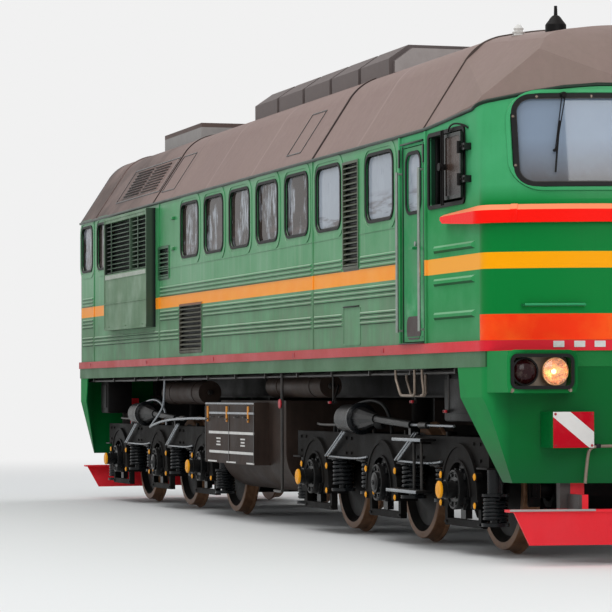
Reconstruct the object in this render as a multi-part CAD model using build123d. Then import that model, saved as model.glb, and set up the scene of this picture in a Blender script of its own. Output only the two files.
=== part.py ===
from build123d import *
import os
from math import sqrt

# One section of a two-section main-line diesel locomotive, 1520 mm gauge, in millimetres.
# +X is forward towards the cab, +Y is the left side, +Z is up.
# The origin is half way between the coupler faces, on the centre line, at the lowest point of the wheel flanges.

# Rail and running gear
flange_height = 30
rail_top = flange_height
wheel_radius = 525
axle_z = rail_top + wheel_radius
bogie_x = {"front": 4228, "rear": -4372}
axle_pitch = 2100
wheel_back_y = 720
tyre_width = 140
journal_r = 82
axle_half = 1115

# Whole vehicle
coupler_face_x = 8700
coupler_z = rail_top + 1060
half_width = 1475
wall = 70
rear_end_x = -7790
rear_corner_r = 100

# Levels, above the flange tips
beam_bottom_z = 1330
frame_bottom_z = 1581
band_bottom_z = 1709
floor_z = 1794
band_top_z = floor_z
belt_bottom_z = 2738
belt_top_z = 2886
eave_z = 3624
brow_z = 3860
roof_top_z = 4530
hatch_top_z = 4735

# Plan of the nose: a flat arc across the front, rounded into the sides, leaning back above the belt
nose_x = 8060
nose_radius = 2500
nose_corner_r = 180
screen_lean = 130
lean_start_z = belt_top_z + 40

# Joints between the roof sections and between the side panels
cab_rear_x = 5462
roof_seam_x = {"cab": 6100, "front": 2815, "rear": -3700}
panel_seams_x = (2830, -3380, -6920)

# Roof: the thickness of its shell, how fast it falls over the cab, and the straps over its seams
roof_thick = 60
roof_fall = 0.085
slope_top = (1075, 4240)
strap_width = 40
strap_proud = 12
rear_strap_x = -6890

# The line between cab walls and cab roof, as x and z: it climbs from the eaves to the brow
brow_line = [(cab_rear_x - 10, eave_z), (6100, eave_z), (7330, 3687), (7590, 3762), (7820, brow_z), (8400, brow_z)]
slope_foot = (7600, 3743)

# Openings in the sides, as centre x, width, bottom z, top z
window_r = 110
window_z = (2925, 3525)
window_width = 780
window_pitch = 1059
first_window_x = -1955
engine_windows = [(first_window_x + i * window_pitch, window_width, *window_z) for i in range(6)]
lobby_windows = [(x, 650, 2975, 3550) for x in (-7330, -6390)]
corridor_window = (4893, window_width, *window_z)
side_windows = lobby_windows + engine_windows + [corridor_window]
side_louvres = [(4050, 480, 2520, 3520), (-3165, 530, 2715, 3090), (-1905, 1010, 1840, 2390)]
cab_side_window = (6700, 860, 2955, 3545)

# Windscreens, as nearest and furthest y, lowest and highest z
screen_y = (75, 1225)
screen_z = (3055, 3750)
screen_r = 120

# Every fixed pane sits against a lip of the wall, in a rebate cut from inside
lip = 22
rebate = 10
pane_thick = 8

# Cab doors
door_x = (5572, 6102)
door_z = (1815, 3500)
door_thick = 50
door_gap = 8

# Pressed ribs of the side panels
rib_proud = 14
rib_high = 30
rib_rows_z = (2610, 2566, 2522, 2330, 2286, 2242, 2098, 2054, 2010)
panel_spans = [(-3340, 2790), (2870, 5400)]
bare_patch = (3780, 4320, 1820, 2180)
cab_rib_z = (2580, 2302, 2018)

# Shutters in front of the side radiators
shutter_x = (-5850, -3580)
shutter_z = (2165, 3570)
shutter_proud = 105
grille_z = (2865, 3500)
slat_pitch = 52
louvre_pitch = 50

# Cooling fan
fan_x = -5315
fan_z = 4330
fan_radius = 620
fan_housing_x = (-6240, -4390)
fan_housing_top_z = 4670

# Raised covers over the engine
hatch_x = (-1660, 3190)
hatch_count = 5
hatch_gap = 90

# Front apron: its crease, its foot, how far it is drawn in there, and its raked rear edge as x and z
sheet_thick = 12
crease_z = 1334
apron_foot_z = 648
apron_drawn_in = 185
apron_rake = [(6932, frame_bottom_z), (6996, crease_z), (7486, apron_foot_z)]

# Lamp boxes and step boxes on the front apron
lamp_box_x = 8050
lamp_box_y = (871, 1450)
lamp_box_z = (1374, 1706)
lamp_mouth = (511, 254, 45, 120)
lamp_r = 112
step_box_x = (7830, 8100)
step_box_y = (745, 1092)
step_box_z = (934, 1219)

# Rear apron
rear_crease_z = 1280
rear_foot_z = 600
rear_apron_half = (1465, 1290)
rear_rake = [(-7380, frame_bottom_z), (-7465, rear_crease_z), (-7766, rear_foot_z)]

# Rail guards
plough_top_z = 435
plough_foot_z = 160
rear_plough_shift = 265
post_y = (715, 923)

# Fuel tank, battery boxes, and air reservoirs as first x, last x, centre z, radius
tank_x = (-1450, 1120)
tank_half = 1250
tank_z = (345, 1300)
battery_x = (-1530, 480)
battery_z = (625, 1280)
reservoirs = [(-4180, -2420, 1388, 135), (300, 2250, 1448, 115)]
reservoir_y = 1120

# Bogies
frame_y = (1055, 1225)
frame_mid_y = sum(frame_y) / 2
frame_z = (750, 1000)
bogie_half = 2770
arch_outer_r, arch_outer_z = 465, 480
arch_inner_r, arch_inner_z = 285, 500
arch_foot_z = 400
arch_proud = 22
bearer_top_z = 1325
spring_r = 108
spring_off = 592
seat_half = 112
seat_high = 28
inner_spring_z = (456, 728)
end_spring_z = (292, 512)
motor_off = 560
motor_half = 350
motor_long = 470
brake_y, brake_z = 1270, 1135


def block(x0, x1, y0, y1, z0, z1):
    """A block between two corners."""
    return Pos((x0 + x1) / 2, (y0 + y1) / 2, (z0 + z1) / 2) * Box(abs(x1 - x0), abs(y1 - y0), abs(z1 - z0))


def mirrored(shape):
    """The same shape on the other side of the centre line."""
    return mirror(shape, about=Plane.XZ)


def joined(shapes):
    """All the shapes fused."""
    first, *rest = shapes
    return first + rest if rest else first


def rod_x(x0, x1, y, z, r):
    """A round bar along X."""
    return Pos((x0 + x1) / 2, y, z) * Rot(0, 90, 0) * Cylinder(r, abs(x1 - x0))


def rod_y(x, y0, y1, z, r):
    """A round bar along Y."""
    return Pos(x, (y0 + y1) / 2, z) * Rot(90, 0, 0) * Cylinder(r, abs(y1 - y0))


def rod_z(x, y, z0, z1, r):
    """A round bar along Z."""
    return Pos(x, y, (z0 + z1) / 2) * Cylinder(r, abs(z1 - z0))


def rod(start, end, r):
    """A round bar from one point to another."""
    run = Vector(*end) - Vector(*start)
    return Plane(origin=start, z_dir=run) * Pos(0, 0, run.length / 2) * Cylinder(r, run.length)


def side_prism(points, y0, y1):
    """A side-view outline of (x, z) points, made solid from y0 to y1."""
    outline = make_face(Polyline(*[(x, y0, z) for x, z in points], close=True))
    return extrude(outline, amount=abs(y1 - y0), dir=(0, 1 if y1 > y0 else -1, 0))


def end_prism(points, x0, x1):
    """An end-view outline of (y, z) points, made solid from x0 to x1."""
    outline = make_face(Polyline(*[(x0, y, z) for y, z in points], close=True))
    return extrude(outline, amount=abs(x1 - x0), dir=(1 if x1 > x0 else -1, 0, 0))


def octagon(x, z, half):
    """The corners of an octagon round (x, z), as a side-view outline."""
    near = half * (sqrt(2) - 1)
    return [(x + a, z + b) for a, b in ((half, near), (near, half), (-near, half), (-half, near),
                                        (-half, -near), (-near, -half), (near, -half), (half, -near))]


def rounded_opening(x, width, z0, z1, r, y0, y1):
    """A round-cornered block that cuts a window through a side wall."""
    return Pos(x, (y0 + y1) / 2, (z0 + z1) / 2) * Rot(90, 0, 0) * extrude(
        RectangleRounded(width, z1 - z0, r), amount=abs(y1 - y0) / 2, both=True)


def nose_surface_x(y):
    """How far forward the upright nose reaches at a distance y from the centre line."""
    return nose_x - nose_radius + sqrt(nose_radius ** 2 - y ** 2)


def nose_plan(inset, z, x_rear):
    """The cab's outline seen from above, inset from the skin."""
    circle_x = nose_x - nose_radius
    width = half_width - inset
    r = nose_radius - inset
    tip = sqrt(r * r - width * width)
    curves = [
        ThreePointArc((circle_x + tip, -width), (circle_x + r, 0), (circle_x + tip, width)),
        Polyline((circle_x + tip, width), (x_rear, width), (x_rear, -width), (circle_x + tip, -width)),
    ]
    sketch = make_face(curves)
    corners = sketch.vertices().filter_by_position(Axis.X, circle_x + tip - 5, circle_x + tip + 5)
    return (Pos(0, 0, z) * fillet(corners, max(nose_corner_r - inset, 60))).faces()[0]


def nose_solid(inset, z0, z1, x_rear):
    """The nose from z0 to z1: upright below the belt, and leaning back beside the windscreens."""
    lower_top = min(z1, lean_start_z)
    parts = []
    if z0 < lower_top:
        parts.append(extrude(nose_plan(inset, z0, x_rear), amount=lower_top - z0))
    if z1 > lean_start_z:
        high = z1 - lean_start_z
        lean = screen_lean * high / (brow_z - lean_start_z)
        slant = sqrt(high ** 2 + lean ** 2)
        leaning = extrude(nose_plan(inset, lean_start_z, x_rear), amount=slant, dir=(-lean, 0, high))
        parts.append(leaning - block(x_rear - 2 * lean, x_rear, -1600, 1600, lean_start_z - 1, z1 + 1))
    return joined(parts)


def roof_face(inset, x, foot):
    """The roof's end view: a crown and two shoulder arcs, then straight lines down to the points of the foot."""
    high = (slope_top[0] - inset * 0.8, slope_top[1] - inset * 0.6)
    shoulder = (935 - inset * 0.6, 4375 - inset * 0.8)
    crown_edge = (720 - inset * 0.3, 4455 - inset)

    def at(point, side):
        return (x, side * point[0], point[1])

    lines = [high] + foot
    sides = [Line(at(a, side), at(b, side)) for side in (-1, 1) for a, b in zip(lines, lines[1:])]
    return make_face(Wire(sides + [
        ThreePointArc(at(high, -1), at(shoulder, -1), at(crown_edge, -1)),
        ThreePointArc(at(crown_edge, -1), (x, 0, roof_top_z - inset), at(crown_edge, 1)),
        ThreePointArc(at(crown_edge, 1), at(shoulder, 1), at(high, 1)),
        Line(at(foot[-1], 1), at(foot[-1], -1)),
    ]))


def roof_solid(inset, x0, x1):
    """The roof as a solid bar between two stations."""
    return extrude(roof_face(inset, x0, [(half_width - inset, eave_z)]), amount=x1 - x0, dir=(1, 0, 0))


def roof_shell(x0, x1):
    """One roof section: a shell that is open below."""
    return roof_solid(0, x0, x1) - roof_solid(roof_thick, x0 - 1, x1 + 1)


def roof_strap(x):
    """The cover strip over a seam of the roof."""
    return roof_solid(-strap_proud, x, x + strap_width) - roof_solid(roof_thick / 2, x - 1, x + strap_width + 1)


def pressed_rib(x0, x1, z, side, high, proud):
    """One pressed rib on a side panel: a low bar with sloped edges and ends."""
    middle = (x0 + x1) / 2
    skin = Plane(origin=(middle, side * half_width, z), x_dir=(1, 0, 0), z_dir=(0, side, 0))
    crest = Plane(origin=(middle, side * (half_width + proud), z), x_dir=(1, 0, 0), z_dir=(0, side, 0))
    return loft([(skin * Rectangle(x1 - x0, high)).faces()[0],
                 (crest * Rectangle(x1 - x0 - high, high * 0.4)).faces()[0]], ruled=True)


def rib_spans(z):
    """The stretches of one rib row that no louvre or bare patch interrupts."""
    spans = list(panel_spans)
    gaps = [(x - w / 2 - 40, x + w / 2 + 40, z0 - 20, z1 + 20) for x, w, z0, z1 in side_louvres]
    for g0, g1, gz0, gz1 in gaps + [bare_patch]:
        if gz0 < z < gz1:
            spans = [s for a, b in spans for s in ((a, min(b, g0)), (max(a, g1), b)) if s[1] - s[0] > 100]
    return spans


def louvre(x, width, z0, z1, side):
    """A side louvre: a frame with slanting slats in front of a closed back."""
    depth, edge, proud = 40, 25, 12
    y = side * half_width
    x0, x1 = x - width / 2, x + width / 2
    frame = block(x0, x1, y - side * depth, y + side * proud, z0, z1)
    frame -= block(x0 + edge, x1 - edge, y - side * (depth - 10), y + side * 20, z0 + edge, z1 - edge)
    slats = []
    for i in range(int((z1 - z0 - 2 * edge) / louvre_pitch)):
        z = z0 + edge + louvre_pitch * (i + 0.6)
        slats.append(end_prism([(y - side * 32, z + 12), (y - side * 32, z + 4), (y + side * 10, z - 22),
                                (y + side * 10, z - 12)], x0 + edge - 5, x1 - edge + 5))
    return joined([frame] + slats)


def side_wall(side):
    """One side of the body behind the cab: a wall with its windows cut and its ribs pressed."""
    y_out, y_in = side * half_width, side * (half_width - wall)
    y_lip = side * (half_width - lip)
    cuts = []
    extras = []
    for x, w, z0, z1 in side_windows:
        cuts.append(rounded_opening(x, w, z0, z1, window_r, y_lip - side, y_out + side))
        cuts.append(block(x - w / 2 - rebate, x + w / 2 + rebate, y_in - side, y_lip, z0 - rebate, z1 + rebate))
    for x, w, z0, z1 in side_louvres:
        cuts.append(block(x - w / 2, x + w / 2, y_in - side, y_out + side, z0, z1))
        extras.append(louvre(x, w, z0, z1, side))
    for z in rib_rows_z:
        for x0, x1 in rib_spans(z) + [(-7600, -6960)]:
            extras.append(pressed_rib(x0, x1, z, side, rib_high, rib_proud))
    for z in rib_rows_z[6:]:
        extras.append(pressed_rib(-6880, -3420, z, side, rib_high, rib_proud))
    for x in panel_seams_x:
        extras.append(block(x - 12, x + 12, y_out - side * 2, y_out + side * 8, band_top_z + 2, eave_z - 4))
    shell = block(rear_end_x + rear_corner_r, cab_rear_x, y_in, y_out, band_top_z, eave_z)
    return joined([shell - cuts] + extras)


def side_panes():
    """The panes of both sides, each seated against the lip of its opening."""
    panes = []
    for side in (-1, 1):
        y = side * (half_width - lip)
        for x, w, z0, z1 in side_windows:
            half = w / 2 + rebate
            panes.append(block(x - half, x + half, y - side * pane_thick, y, z0 - rebate, z1 + rebate))
    return panes


def rear_wall():
    """The inner end: a wall with rounded corners and the doorway to the other section."""
    outer = block(rear_end_x, rear_end_x + 600, -half_width, half_width, band_top_z, eave_z)
    outer = fillet(outer.edges().filter_by(Axis.Z).group_by(Axis.X)[0], rear_corner_r)
    outer &= block(rear_end_x, rear_end_x + rear_corner_r, -half_width, half_width, band_top_z, eave_z)
    inner_half = half_width - wall
    hollow = block(rear_end_x + wall, 0, -inner_half, inner_half, band_top_z - 1, eave_z + 1)
    gable = roof_solid(0, rear_end_x, rear_end_x + wall)
    doorway = block(rear_end_x - 10, rear_end_x + 2 * wall, -330, 330, band_top_z + 20, 3700)
    return outer - hollow + gable - doorway


def screen_prisms(outline):
    """The same outline, seen from the front, made into a block along X for each windscreen."""
    y, z = sum(screen_y) / 2, sum(screen_z) / 2
    planes = [Plane(origin=(7000, side * y, z), x_dir=(0, 1, 0), z_dir=(1, 0, 0)) for side in (-1, 1)]
    return [extrude(plane * outline, amount=1300, dir=(1, 0, 0)) for plane in planes]


def screen_rebates():
    """The square recesses that take the windscreens, as blocks along X."""
    width, height = screen_y[1] - screen_y[0], screen_z[1] - screen_z[0]
    return screen_prisms(Rectangle(width + 2 * rebate, height + 2 * rebate))


def cab_walls():
    """The cab: nose and sides in one shell, with windscreens, side windows and doorways cut."""
    shell = nose_solid(0, band_top_z, brow_z, cab_rear_x)
    shell -= nose_solid(wall, band_top_z - 1, brow_z + 1, cab_rear_x - 10)
    shell -= side_prism(brow_line + [(8400, brow_z + 50), (cab_rear_x - 10, brow_z + 50)], -1600, 1600)
    shell -= screen_prisms(RectangleRounded(screen_y[1] - screen_y[0], screen_z[1] - screen_z[0], screen_r))
    behind_lip = nose_solid(lip, screen_z[0] - 40, screen_z[1] + 40, 6900)
    shell -= [prism & behind_lip for prism in screen_rebates()]
    x, w, z0, z1 = cab_side_window
    cuts = []
    extras = []
    for side in (-1, 1):
        y = side * half_width
        y_inside, y_outside = y - side * 200, y + side * 20
        cuts.append(rounded_opening(x, w, z0, z1, 30, y_inside, y_outside))
        cuts.append(block(door_x[0] - door_gap, door_x[1] + door_gap, y_inside, y_outside,
                          door_z[0] - door_gap, door_z[1] + door_gap))
        for z in cab_rib_z:
            extras.append(pressed_rib(6370, 7370, z, side, 62, 20))
        for post in (door_x[0] - 95, door_x[1] + 60):
            extras.append(block(post, post + 35, y - side * 10, y + side * 18, band_top_z, eave_z - 20))
    return joined([shell - cuts] + extras)


def windscreens():
    """The two windscreens: bent panes that follow the nose, seated against the lips of the openings."""
    low, high = screen_z[0] - 40, screen_z[1] + 40
    sheet = nose_solid(lip, low, high, 7000) - nose_solid(lip + pane_thick, low - 20, high + 20, 6990)
    left, right = screen_rebates()
    return (sheet & left) + (sheet & right)


def sole_band():
    """The band round the foot of the body, standing a little proud of the walls."""
    outer = nose_solid(-14, band_bottom_z, band_top_z, rear_end_x)
    return outer - nose_solid(wall, band_bottom_z - 1, band_top_z + 1, rear_end_x + wall)


def cab_belt():
    """The coloured belt under the windscreens, with a sloped top and tapered ends on the cab sides."""
    proud = 60
    low, high = belt_bottom_z, belt_top_z
    cap_z = high - 45
    rear_x = 6500
    outer = extrude(nose_plan(-proud, low, rear_x), amount=cap_z - low)
    cap = loft([nose_plan(-proud, cap_z, rear_x), nose_plan(-8, high, rear_x)], ruled=True)
    body = (outer + cap) - extrude(nose_plan(0, low - 1, rear_x - 100), amount=high - low + 2)
    taper = side_prism([(6400, low - 10), (7480, low - 1), (6740, low + 45), (6685, low + 75), (6685, high - 50),
                        (6740, high - 30), (7480, high + 1), (6400, high + 10)], -1700, 1700)
    return body - taper


def dome_profile():
    """The side view of the cab roof: level, then a long arc down to the brow."""
    z_top = roof_top_z + 2
    bend = (6650, 0, z_top)
    tip_x = nose_x - screen_lean + 20
    face = make_face([
        Line((6000, 0, z_top), bend),
        ThreePointArc(bend, (7430, 0, 4330), (tip_x, 0, brow_z - 30)),
        Polyline((tip_x, 0, brow_z - 30), (tip_x, 0, 3500), (6000, 0, 3500), (6000, 0, z_top)),
    ])
    return extrude(face, amount=1600, both=True, dir=(0, 1, 0))


def above_plane(p, q, r):
    """Everything above the plane through three points, as a large block."""
    origin = Vector(*p)
    up = (Vector(*q) - origin).cross(Vector(*r) - origin)
    if up.Z < 0:
        up = up * -1
    return Plane(origin=p, z_dir=up) * Pos(0, 0, 500) * Box(6000, 6000, 1000)


def cab_dome():
    """The whole space under the cab roof's skin: the common shape, falling forward, with twisted slopes."""
    seam = roof_seam_x["cab"]
    top_y, top_z = slope_top
    corner_x, corner_z = slope_foot
    bar = extrude(roof_face(0, seam, [(1650, 4150), (1650, 3300)]), amount=2200, dir=(1, 0, -roof_fall))
    slope_rear = (seam, top_y, top_z)
    slope_front = (corner_x, top_y, top_z - roof_fall * (corner_x - seam))
    eave_front = (corner_x, half_width, corner_z)
    outside = [above_plane(slope_rear, (seam, half_width, eave_z), eave_front),
               above_plane(slope_rear, slope_front, eave_front)]
    bar -= outside + [mirrored(cut) for cut in outside]
    return bar & dome_profile() & nose_solid(0, eave_z - 40, 4700, 6000)


def cab_roof():
    """The roof over the cab: it falls gently forward, then turns down to the brow over the windscreens."""
    below_brow = side_prism([(5000, 3400), (5000, eave_z)] + brow_line[1:] + [(8400, 3400)], -1700, 1700)
    hollow = roof_solid(170, 6000, 7480)
    hollow &= side_prism([(6000, 3500), (6000, 4340), (6900, 4280), (7480, 3900), (7480, 3500)], -1400, 1400)
    return cab_dome() - hollow - below_brow


def middle_roof():
    """The roof over the engine, with a strap over its front seam that stops beside the hatches."""
    front = roof_seam_x["front"]
    strap = roof_strap(front - strap_width) - block(front - 100, front + 10, -820, 820, 4300, 4700)
    return roof_shell(roof_seam_x["rear"], front) + strap


def front_roof():
    """The roof between the engine and the cab, with a strap over its front seam."""
    seam = roof_seam_x["cab"]
    return roof_shell(roof_seam_x["front"], seam) + roof_strap(seam - strap_width)


def rear_roof():
    """The roof over the radiators, with the fan's hole and two straps."""
    seam = roof_seam_x["rear"]
    shell = joined([roof_shell(rear_end_x + wall, seam), roof_strap(seam - strap_width), roof_strap(rear_strap_x)])
    return shell - Pos(fan_x, 0, 4400) * Cylinder(fan_radius + 20, 800)


def roof_hatches():
    """The raised covers over the engine: a ridged plinth with a row of hatch boxes across it."""
    x0, x1 = hatch_x
    top = hatch_top_z
    ridge = top - 35
    plinth = end_prism([(-760, 4400), (-760, 4570), (-580, ridge), (580, ridge), (760, 4570), (760, 4400)], x0, x1)
    cover = [(-800, 4400), (-800, 4595), (-600, top), (600, top), (800, 4595), (800, 4400)]
    pitch = (x1 - x0) / hatch_count
    covers = []
    for i in range(hatch_count):
        start = x0 + i * pitch + hatch_gap / 2
        covers.append(end_prism(cover, start, start + pitch - hatch_gap))
    return joined([plinth] + covers) - roof_solid(0, x0 - 200, x1 + 200)


def fan_housing():
    """The square duct over the cooling fan, with its roof flaps standing open."""
    (x0, x1), top = fan_housing_x, fan_housing_top_z
    ring = block(x0, x1, -700, 700, 4400, top) - block(x0 + 40, x1 - 40, -660, 660, top - 50, top + 10)
    ring -= Pos(fan_x, 0, 4400) * Cylinder(fan_radius + 20, 800)
    ring -= roof_solid(0, x0 - 100, x1 + 100)
    flaps = []
    for i in range(8):
        x = x0 + 180 + i * 205
        leaf = [(x, top - 46), (x + 12, top - 46), (x + 92, top - 6), (x + 80, top - 2)]
        flaps.append(side_prism(leaf, -670, 670))
    return joined([ring] + flaps)


def fan_rotor():
    """The cooling fan: a hub with eight twisted blades."""
    hub = Pos(fan_x, 0, fan_z) * Cylinder(150, 160)
    blade = Pos(360, 0, 0) * Rot(28, 0, 0) * Box(440, 150, 12)
    blades = [Pos(fan_x, 0, fan_z) * Rot(0, 0, 45 * i) * blade for i in range(8)]
    return joined([hub, rod_z(fan_x, 0, fan_z - 260, fan_z - 70, 45)] + blades)


def radiator_shutters():
    """The boxed shutters in front of the side radiators: an upper grille over a closed lower panel."""
    (x0, x1), (z0, z1), (low, high) = shutter_x, shutter_z, grille_z
    y0, y1 = half_width, half_width + shutter_proud
    case = block(x0, x1, y0, y1, z0, z1)
    for a, b in ((x0 + 60, -4480), (-4420, x1 - 60)):
        case -= block(a, b, y0 + 15, y1 + 5, low, high)
    slats = []
    for i in range(int((high - low) / slat_pitch)):
        z = low + slat_pitch * (i + 0.55)
        slats.append(end_prism([(y0 + 10, z + 24), (y0 + 10, z + 16), (y1 - 14, z - 20), (y1 - 14, z - 10)],
                               x0 + 50, x1 - 50))
    box = joined([case, block(x0, x1, y1 - 1, y1 + 10, 2490, 2505)] + slats)
    return box + mirrored(box)


def underframe():
    """The main frame: deck, two deep centre beams, side sills, cross members and the drag boxes."""
    deck = nose_solid(wall, band_bottom_z - 4, floor_z, rear_end_x + wall)
    sill = nose_solid(0, frame_bottom_z, band_bottom_z, rear_end_x)
    sill -= nose_solid(60, frame_bottom_z - 1, band_bottom_z + 1, rear_end_x + 60)
    stack = [deck, sill]
    for y in (-480, 480):
        stack.append(block(-7500, 7450, y - 12, y + 12, beam_bottom_z, 1720))
        stack.append(block(-7500, 7450, y - 110, y + 110, beam_bottom_z, beam_bottom_z + 22))
    for x in (-7100, -5900, -2600, -1450, 0, 1500, 2900, 5700, 7100):
        stack.append(block(x - 12, x + 12, -1400, 1400, 1600, 1720))
    for x in bogie_x.values():
        stack.append(block(x - 300, x + 300, -480, 480, beam_bottom_z + 22, 1400))
        stack.append(rod_z(x, 0, 1090, 1400, 140))
    for end in (-1, 1):
        stack.append(block(end * 7450, end * nose_x, -260, 260, 950, 1230))
        stack.append(block(end * 7300, end * 7480, -560, 560, 950, 1720))
    pockets = [block(end * 7600, end * 8300, -170, 170, coupler_z - 95, coupler_z + 95) for end in (-1, 1)]
    return joined(stack) - pockets


def coupler(end):
    """A fixed-jaw automatic coupler: a shank, a big tooth and a small tooth with the throat between them."""
    face = coupler_face_x
    throat = face - 95
    head = make_face(Polyline((8330, -120), (8330, 120), (8480, 190), (8640, 250), (face, 240), (face, 175),
                              (throat, 150), (throat, 20), (face - 20, -30), (face, -90),
                              (face, -190), (8620, -225), (8470, -180), close=True))
    body = Pos(0, 0, coupler_z - 165) * extrude(head, amount=330)
    body -= block(8600, 8800, -300, 300, coupler_z + 110, coupler_z + 200)
    whole = body + block(7640, 8360, -85, 85, coupler_z - 80, coupler_z + 80)
    return whole if end > 0 else Rot(0, 0, 180) * whole


def drawn_in_sides(inset):
    """The apron's end view: upright sides down to the crease, then leaning in to the foot."""
    side, foot = half_width - inset, half_width - inset - apron_drawn_in
    return [(-foot, apron_foot_z), (-side, crease_z), (-side, frame_bottom_z),
            (side, frame_bottom_z), (side, crease_z), (foot, apron_foot_z)]


def skirt_front():
    """The apron under the cab: a bent sheet with raked rear edges, two lamp boxes and two step boxes."""
    gap, rear_x = 4, 6700
    whole = nose_solid(gap, apron_foot_z, frame_bottom_z, rear_x) & end_prism(drawn_in_sides(gap), 6000, 8200)
    inner = nose_solid(gap + sheet_thick, apron_foot_z - 2, frame_bottom_z + 2, rear_x - 10)
    inner &= end_prism(drawn_in_sides(gap + sheet_thick), 6000, 8200)
    rake = side_prism([(6600, 1800), (apron_rake[0][0], 1800)] + apron_rake + [(apron_rake[2][0], 600), (6600, 600)],
                      -1600, 1600)
    sheet = whole - inner - rake - block(7700, 8200, -330, 330, 640, 1270)
    (x0, x1), (y0, y1), (z0, z1) = step_box_x, step_box_y, step_box_z
    boxes = [lamp_box(side) for side in (-1, 1)] + [block(x0, x1, side * y0, side * y1, z0, z1) for side in (-1, 1)]
    return joined([sheet] + boxes)


def lamp_box(side):
    """One lamp housing: a box that stands out of the apron to a flat front, with a deep rounded recess."""
    (y0, y1), (z0, z1) = lamp_box_y, lamp_box_z
    width, height, corner_r, deep = lamp_mouth
    shell = block(7560, lamp_box_x, side * y0, side * y1, z0, z1)
    plane = Plane(origin=(lamp_box_x, side * (y0 + y1) / 2, (z0 + z1) / 2), x_dir=(0, 1, 0), z_dir=(1, 0, 0))
    mouth = extrude(plane * RectangleRounded(width, height, corner_r), amount=-deep)
    return shell - nose_solid(0, frame_bottom_z, z1 + 50, 7000) - mouth


def lamps():
    """The four lamp drums, two side by side at the back of each lamp box."""
    drums = []
    z = sum(lamp_box_z) / 2
    back = lamp_box_x - lamp_mouth[3]
    for side in (-1, 1):
        for offset in (-125, 125):
            drums.append(rod_x(back, lamp_box_x - 30, side * (sum(lamp_box_y) / 2 + offset), z, lamp_r))
    return drums


def rear_apron_solid(inset, reach=0):
    """The space inside the rear apron: upright, with its sides drawn in below the crease."""
    x0, x1 = rear_end_x + 10 + inset, -7000
    upper_half, foot_half = rear_apron_half

    def plan(z, half):
        return (Pos((x0 + x1) / 2, 0, z) * Rectangle(x1 - x0, 2 * (half - inset))).faces()[0]

    upper = extrude(plan(rear_crease_z, upper_half), amount=frame_bottom_z - rear_crease_z + reach)
    lower = loft([plan(rear_foot_z - reach, foot_half), plan(rear_crease_z, upper_half)], ruled=True)
    return upper + lower


def skirt_rear():
    """The apron under the inner end: a flat sheet with raked return plates."""
    sheet = rear_apron_solid(0) - rear_apron_solid(sheet_thick, 2)
    rake = side_prism([(-6900, 1800), (rear_rake[0][0], 1800)] + rear_rake + [(rear_rake[2][0], 500), (-6900, 500)],
                      -1600, 1600)
    return sheet - rake - block(rear_end_x - 50, rear_end_x + 100, -330, 330, 500, 1270)


def plough(end):
    """The rail guard: a shallow V blade with a turned top edge, hung on two posts."""
    top, foot = plough_top_z, plough_foot_z
    blade_top = make_face(Polyline((8215, 0), (8010, 1395), (7990, 1395), (8195, 0), close=True))
    blade_foot = make_face(Polyline((8150, 0), (7975, 1245), (7955, 1245), (8130, 0), close=True))
    rail = make_face(Polyline((8235, 0), (8025, 1430), (7900, 1430), (8110, 0), close=True))
    half = loft([(Pos(0, 0, top) * blade_top).faces()[0], (Pos(0, 0, foot) * blade_foot).faces()[0]], ruled=True)
    half += Pos(0, 0, top - 10) * extrude(rail, amount=20)
    post_x = 7740 if end > 0 else 7640 + rear_plough_shift
    half += block(post_x, post_x + 75, *post_y, top, 1320)
    half += block(post_x + 60, 8060, 780, 860, top, top + 125)
    whole = half + mirrored(half)
    return whole if end > 0 else mirror(Pos(-rear_plough_shift, 0, 0) * whole, about=Plane.YZ)


def fuel_tank():
    """The fuel tank slung between the bogies, with the battery boxes on both sides."""
    (x0, x1), (z0, z1) = tank_x, tank_z
    outline = Pos(0, (z0 + z1) / 2) * Rectangle(2 * tank_half, z1 - z0)
    face = fillet(outline.vertices().group_by(Axis.Y)[0], 420)
    plane = Plane(origin=(x0, 0, 0), x_dir=(0, 1, 0), z_dir=(1, 0, 0))
    tank = extrude(plane * face, amount=x1 - x0, dir=(1, 0, 0))
    batteries = [block(*battery_x, side * 1200, side * 1410, *battery_z) for side in (-1, 1)]
    hangers = [block(x, x + 120, -620, 620, z1 - 5, beam_bottom_z) for x in (-1300, 700)]
    return joined([tank] + batteries + hangers)


def air_reservoirs():
    """Main air reservoirs: two drums on each side, hung on straps under the side sills."""
    drums = []
    for x0, x1, z, r in reservoirs:
        drum = rod_x(x0, x1, reservoir_y, z, r)
        straps = [block(x, x + 50, reservoir_y - 30, reservoir_y + 30, z + r - 15, frame_bottom_z)
                  for x in (x0 + 250, x1 - 300)]
        whole = joined([drum] + straps)
        drums += [whole, mirrored(whole)]
    return drums


def engine():
    """The diesel engine and its generator as one plain block."""
    return block(-2750, 1650, -620, 620, floor_z, 3650) + block(1600, 3300, -560, 560, floor_z, 3150)


def cab_bulkhead():
    """The wall between cab and engine room, with a doorway."""
    x0, x1 = 5400, 5455
    clear_half = half_width - wall - 2
    low = block(x0, x1, -clear_half, clear_half, floor_z + 2, eave_z)
    return (roof_solid(roof_thick + 2, x0, x1) + low) - block(x0 - 100, x1 + 100, -350, 350, floor_z + 6, 3700)


def cab_desk():
    """The driver's desk across the cab, with a raised instrument hood on the driver's side."""
    desk = side_prism([(6980, floor_z + 2), (7520, floor_z + 2), (7520, 2830), (7380, 2880), (6900, 2560),
                       (6900, 2500), (6980, 2480)], -1250, 1250)
    return desk + side_prism([(7060, 2640), (7420, 2860), (7420, 3000), (7200, 2960)], -1150, -350)


def cab_seats():
    """Two seats on pedestals."""
    seats = []
    for y in (-800, 800):
        seats.append(joined([
            rod_z(6480, y, floor_z + 2, 2240, 60),
            block(6230, 6730, y - 230, y + 230, 2240, 2340),
            side_prism([(6230, 2330), (6330, 2330), (6270, 2950), (6180, 2950)], y - 220, y + 220),
        ]))
    return seats


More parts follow.
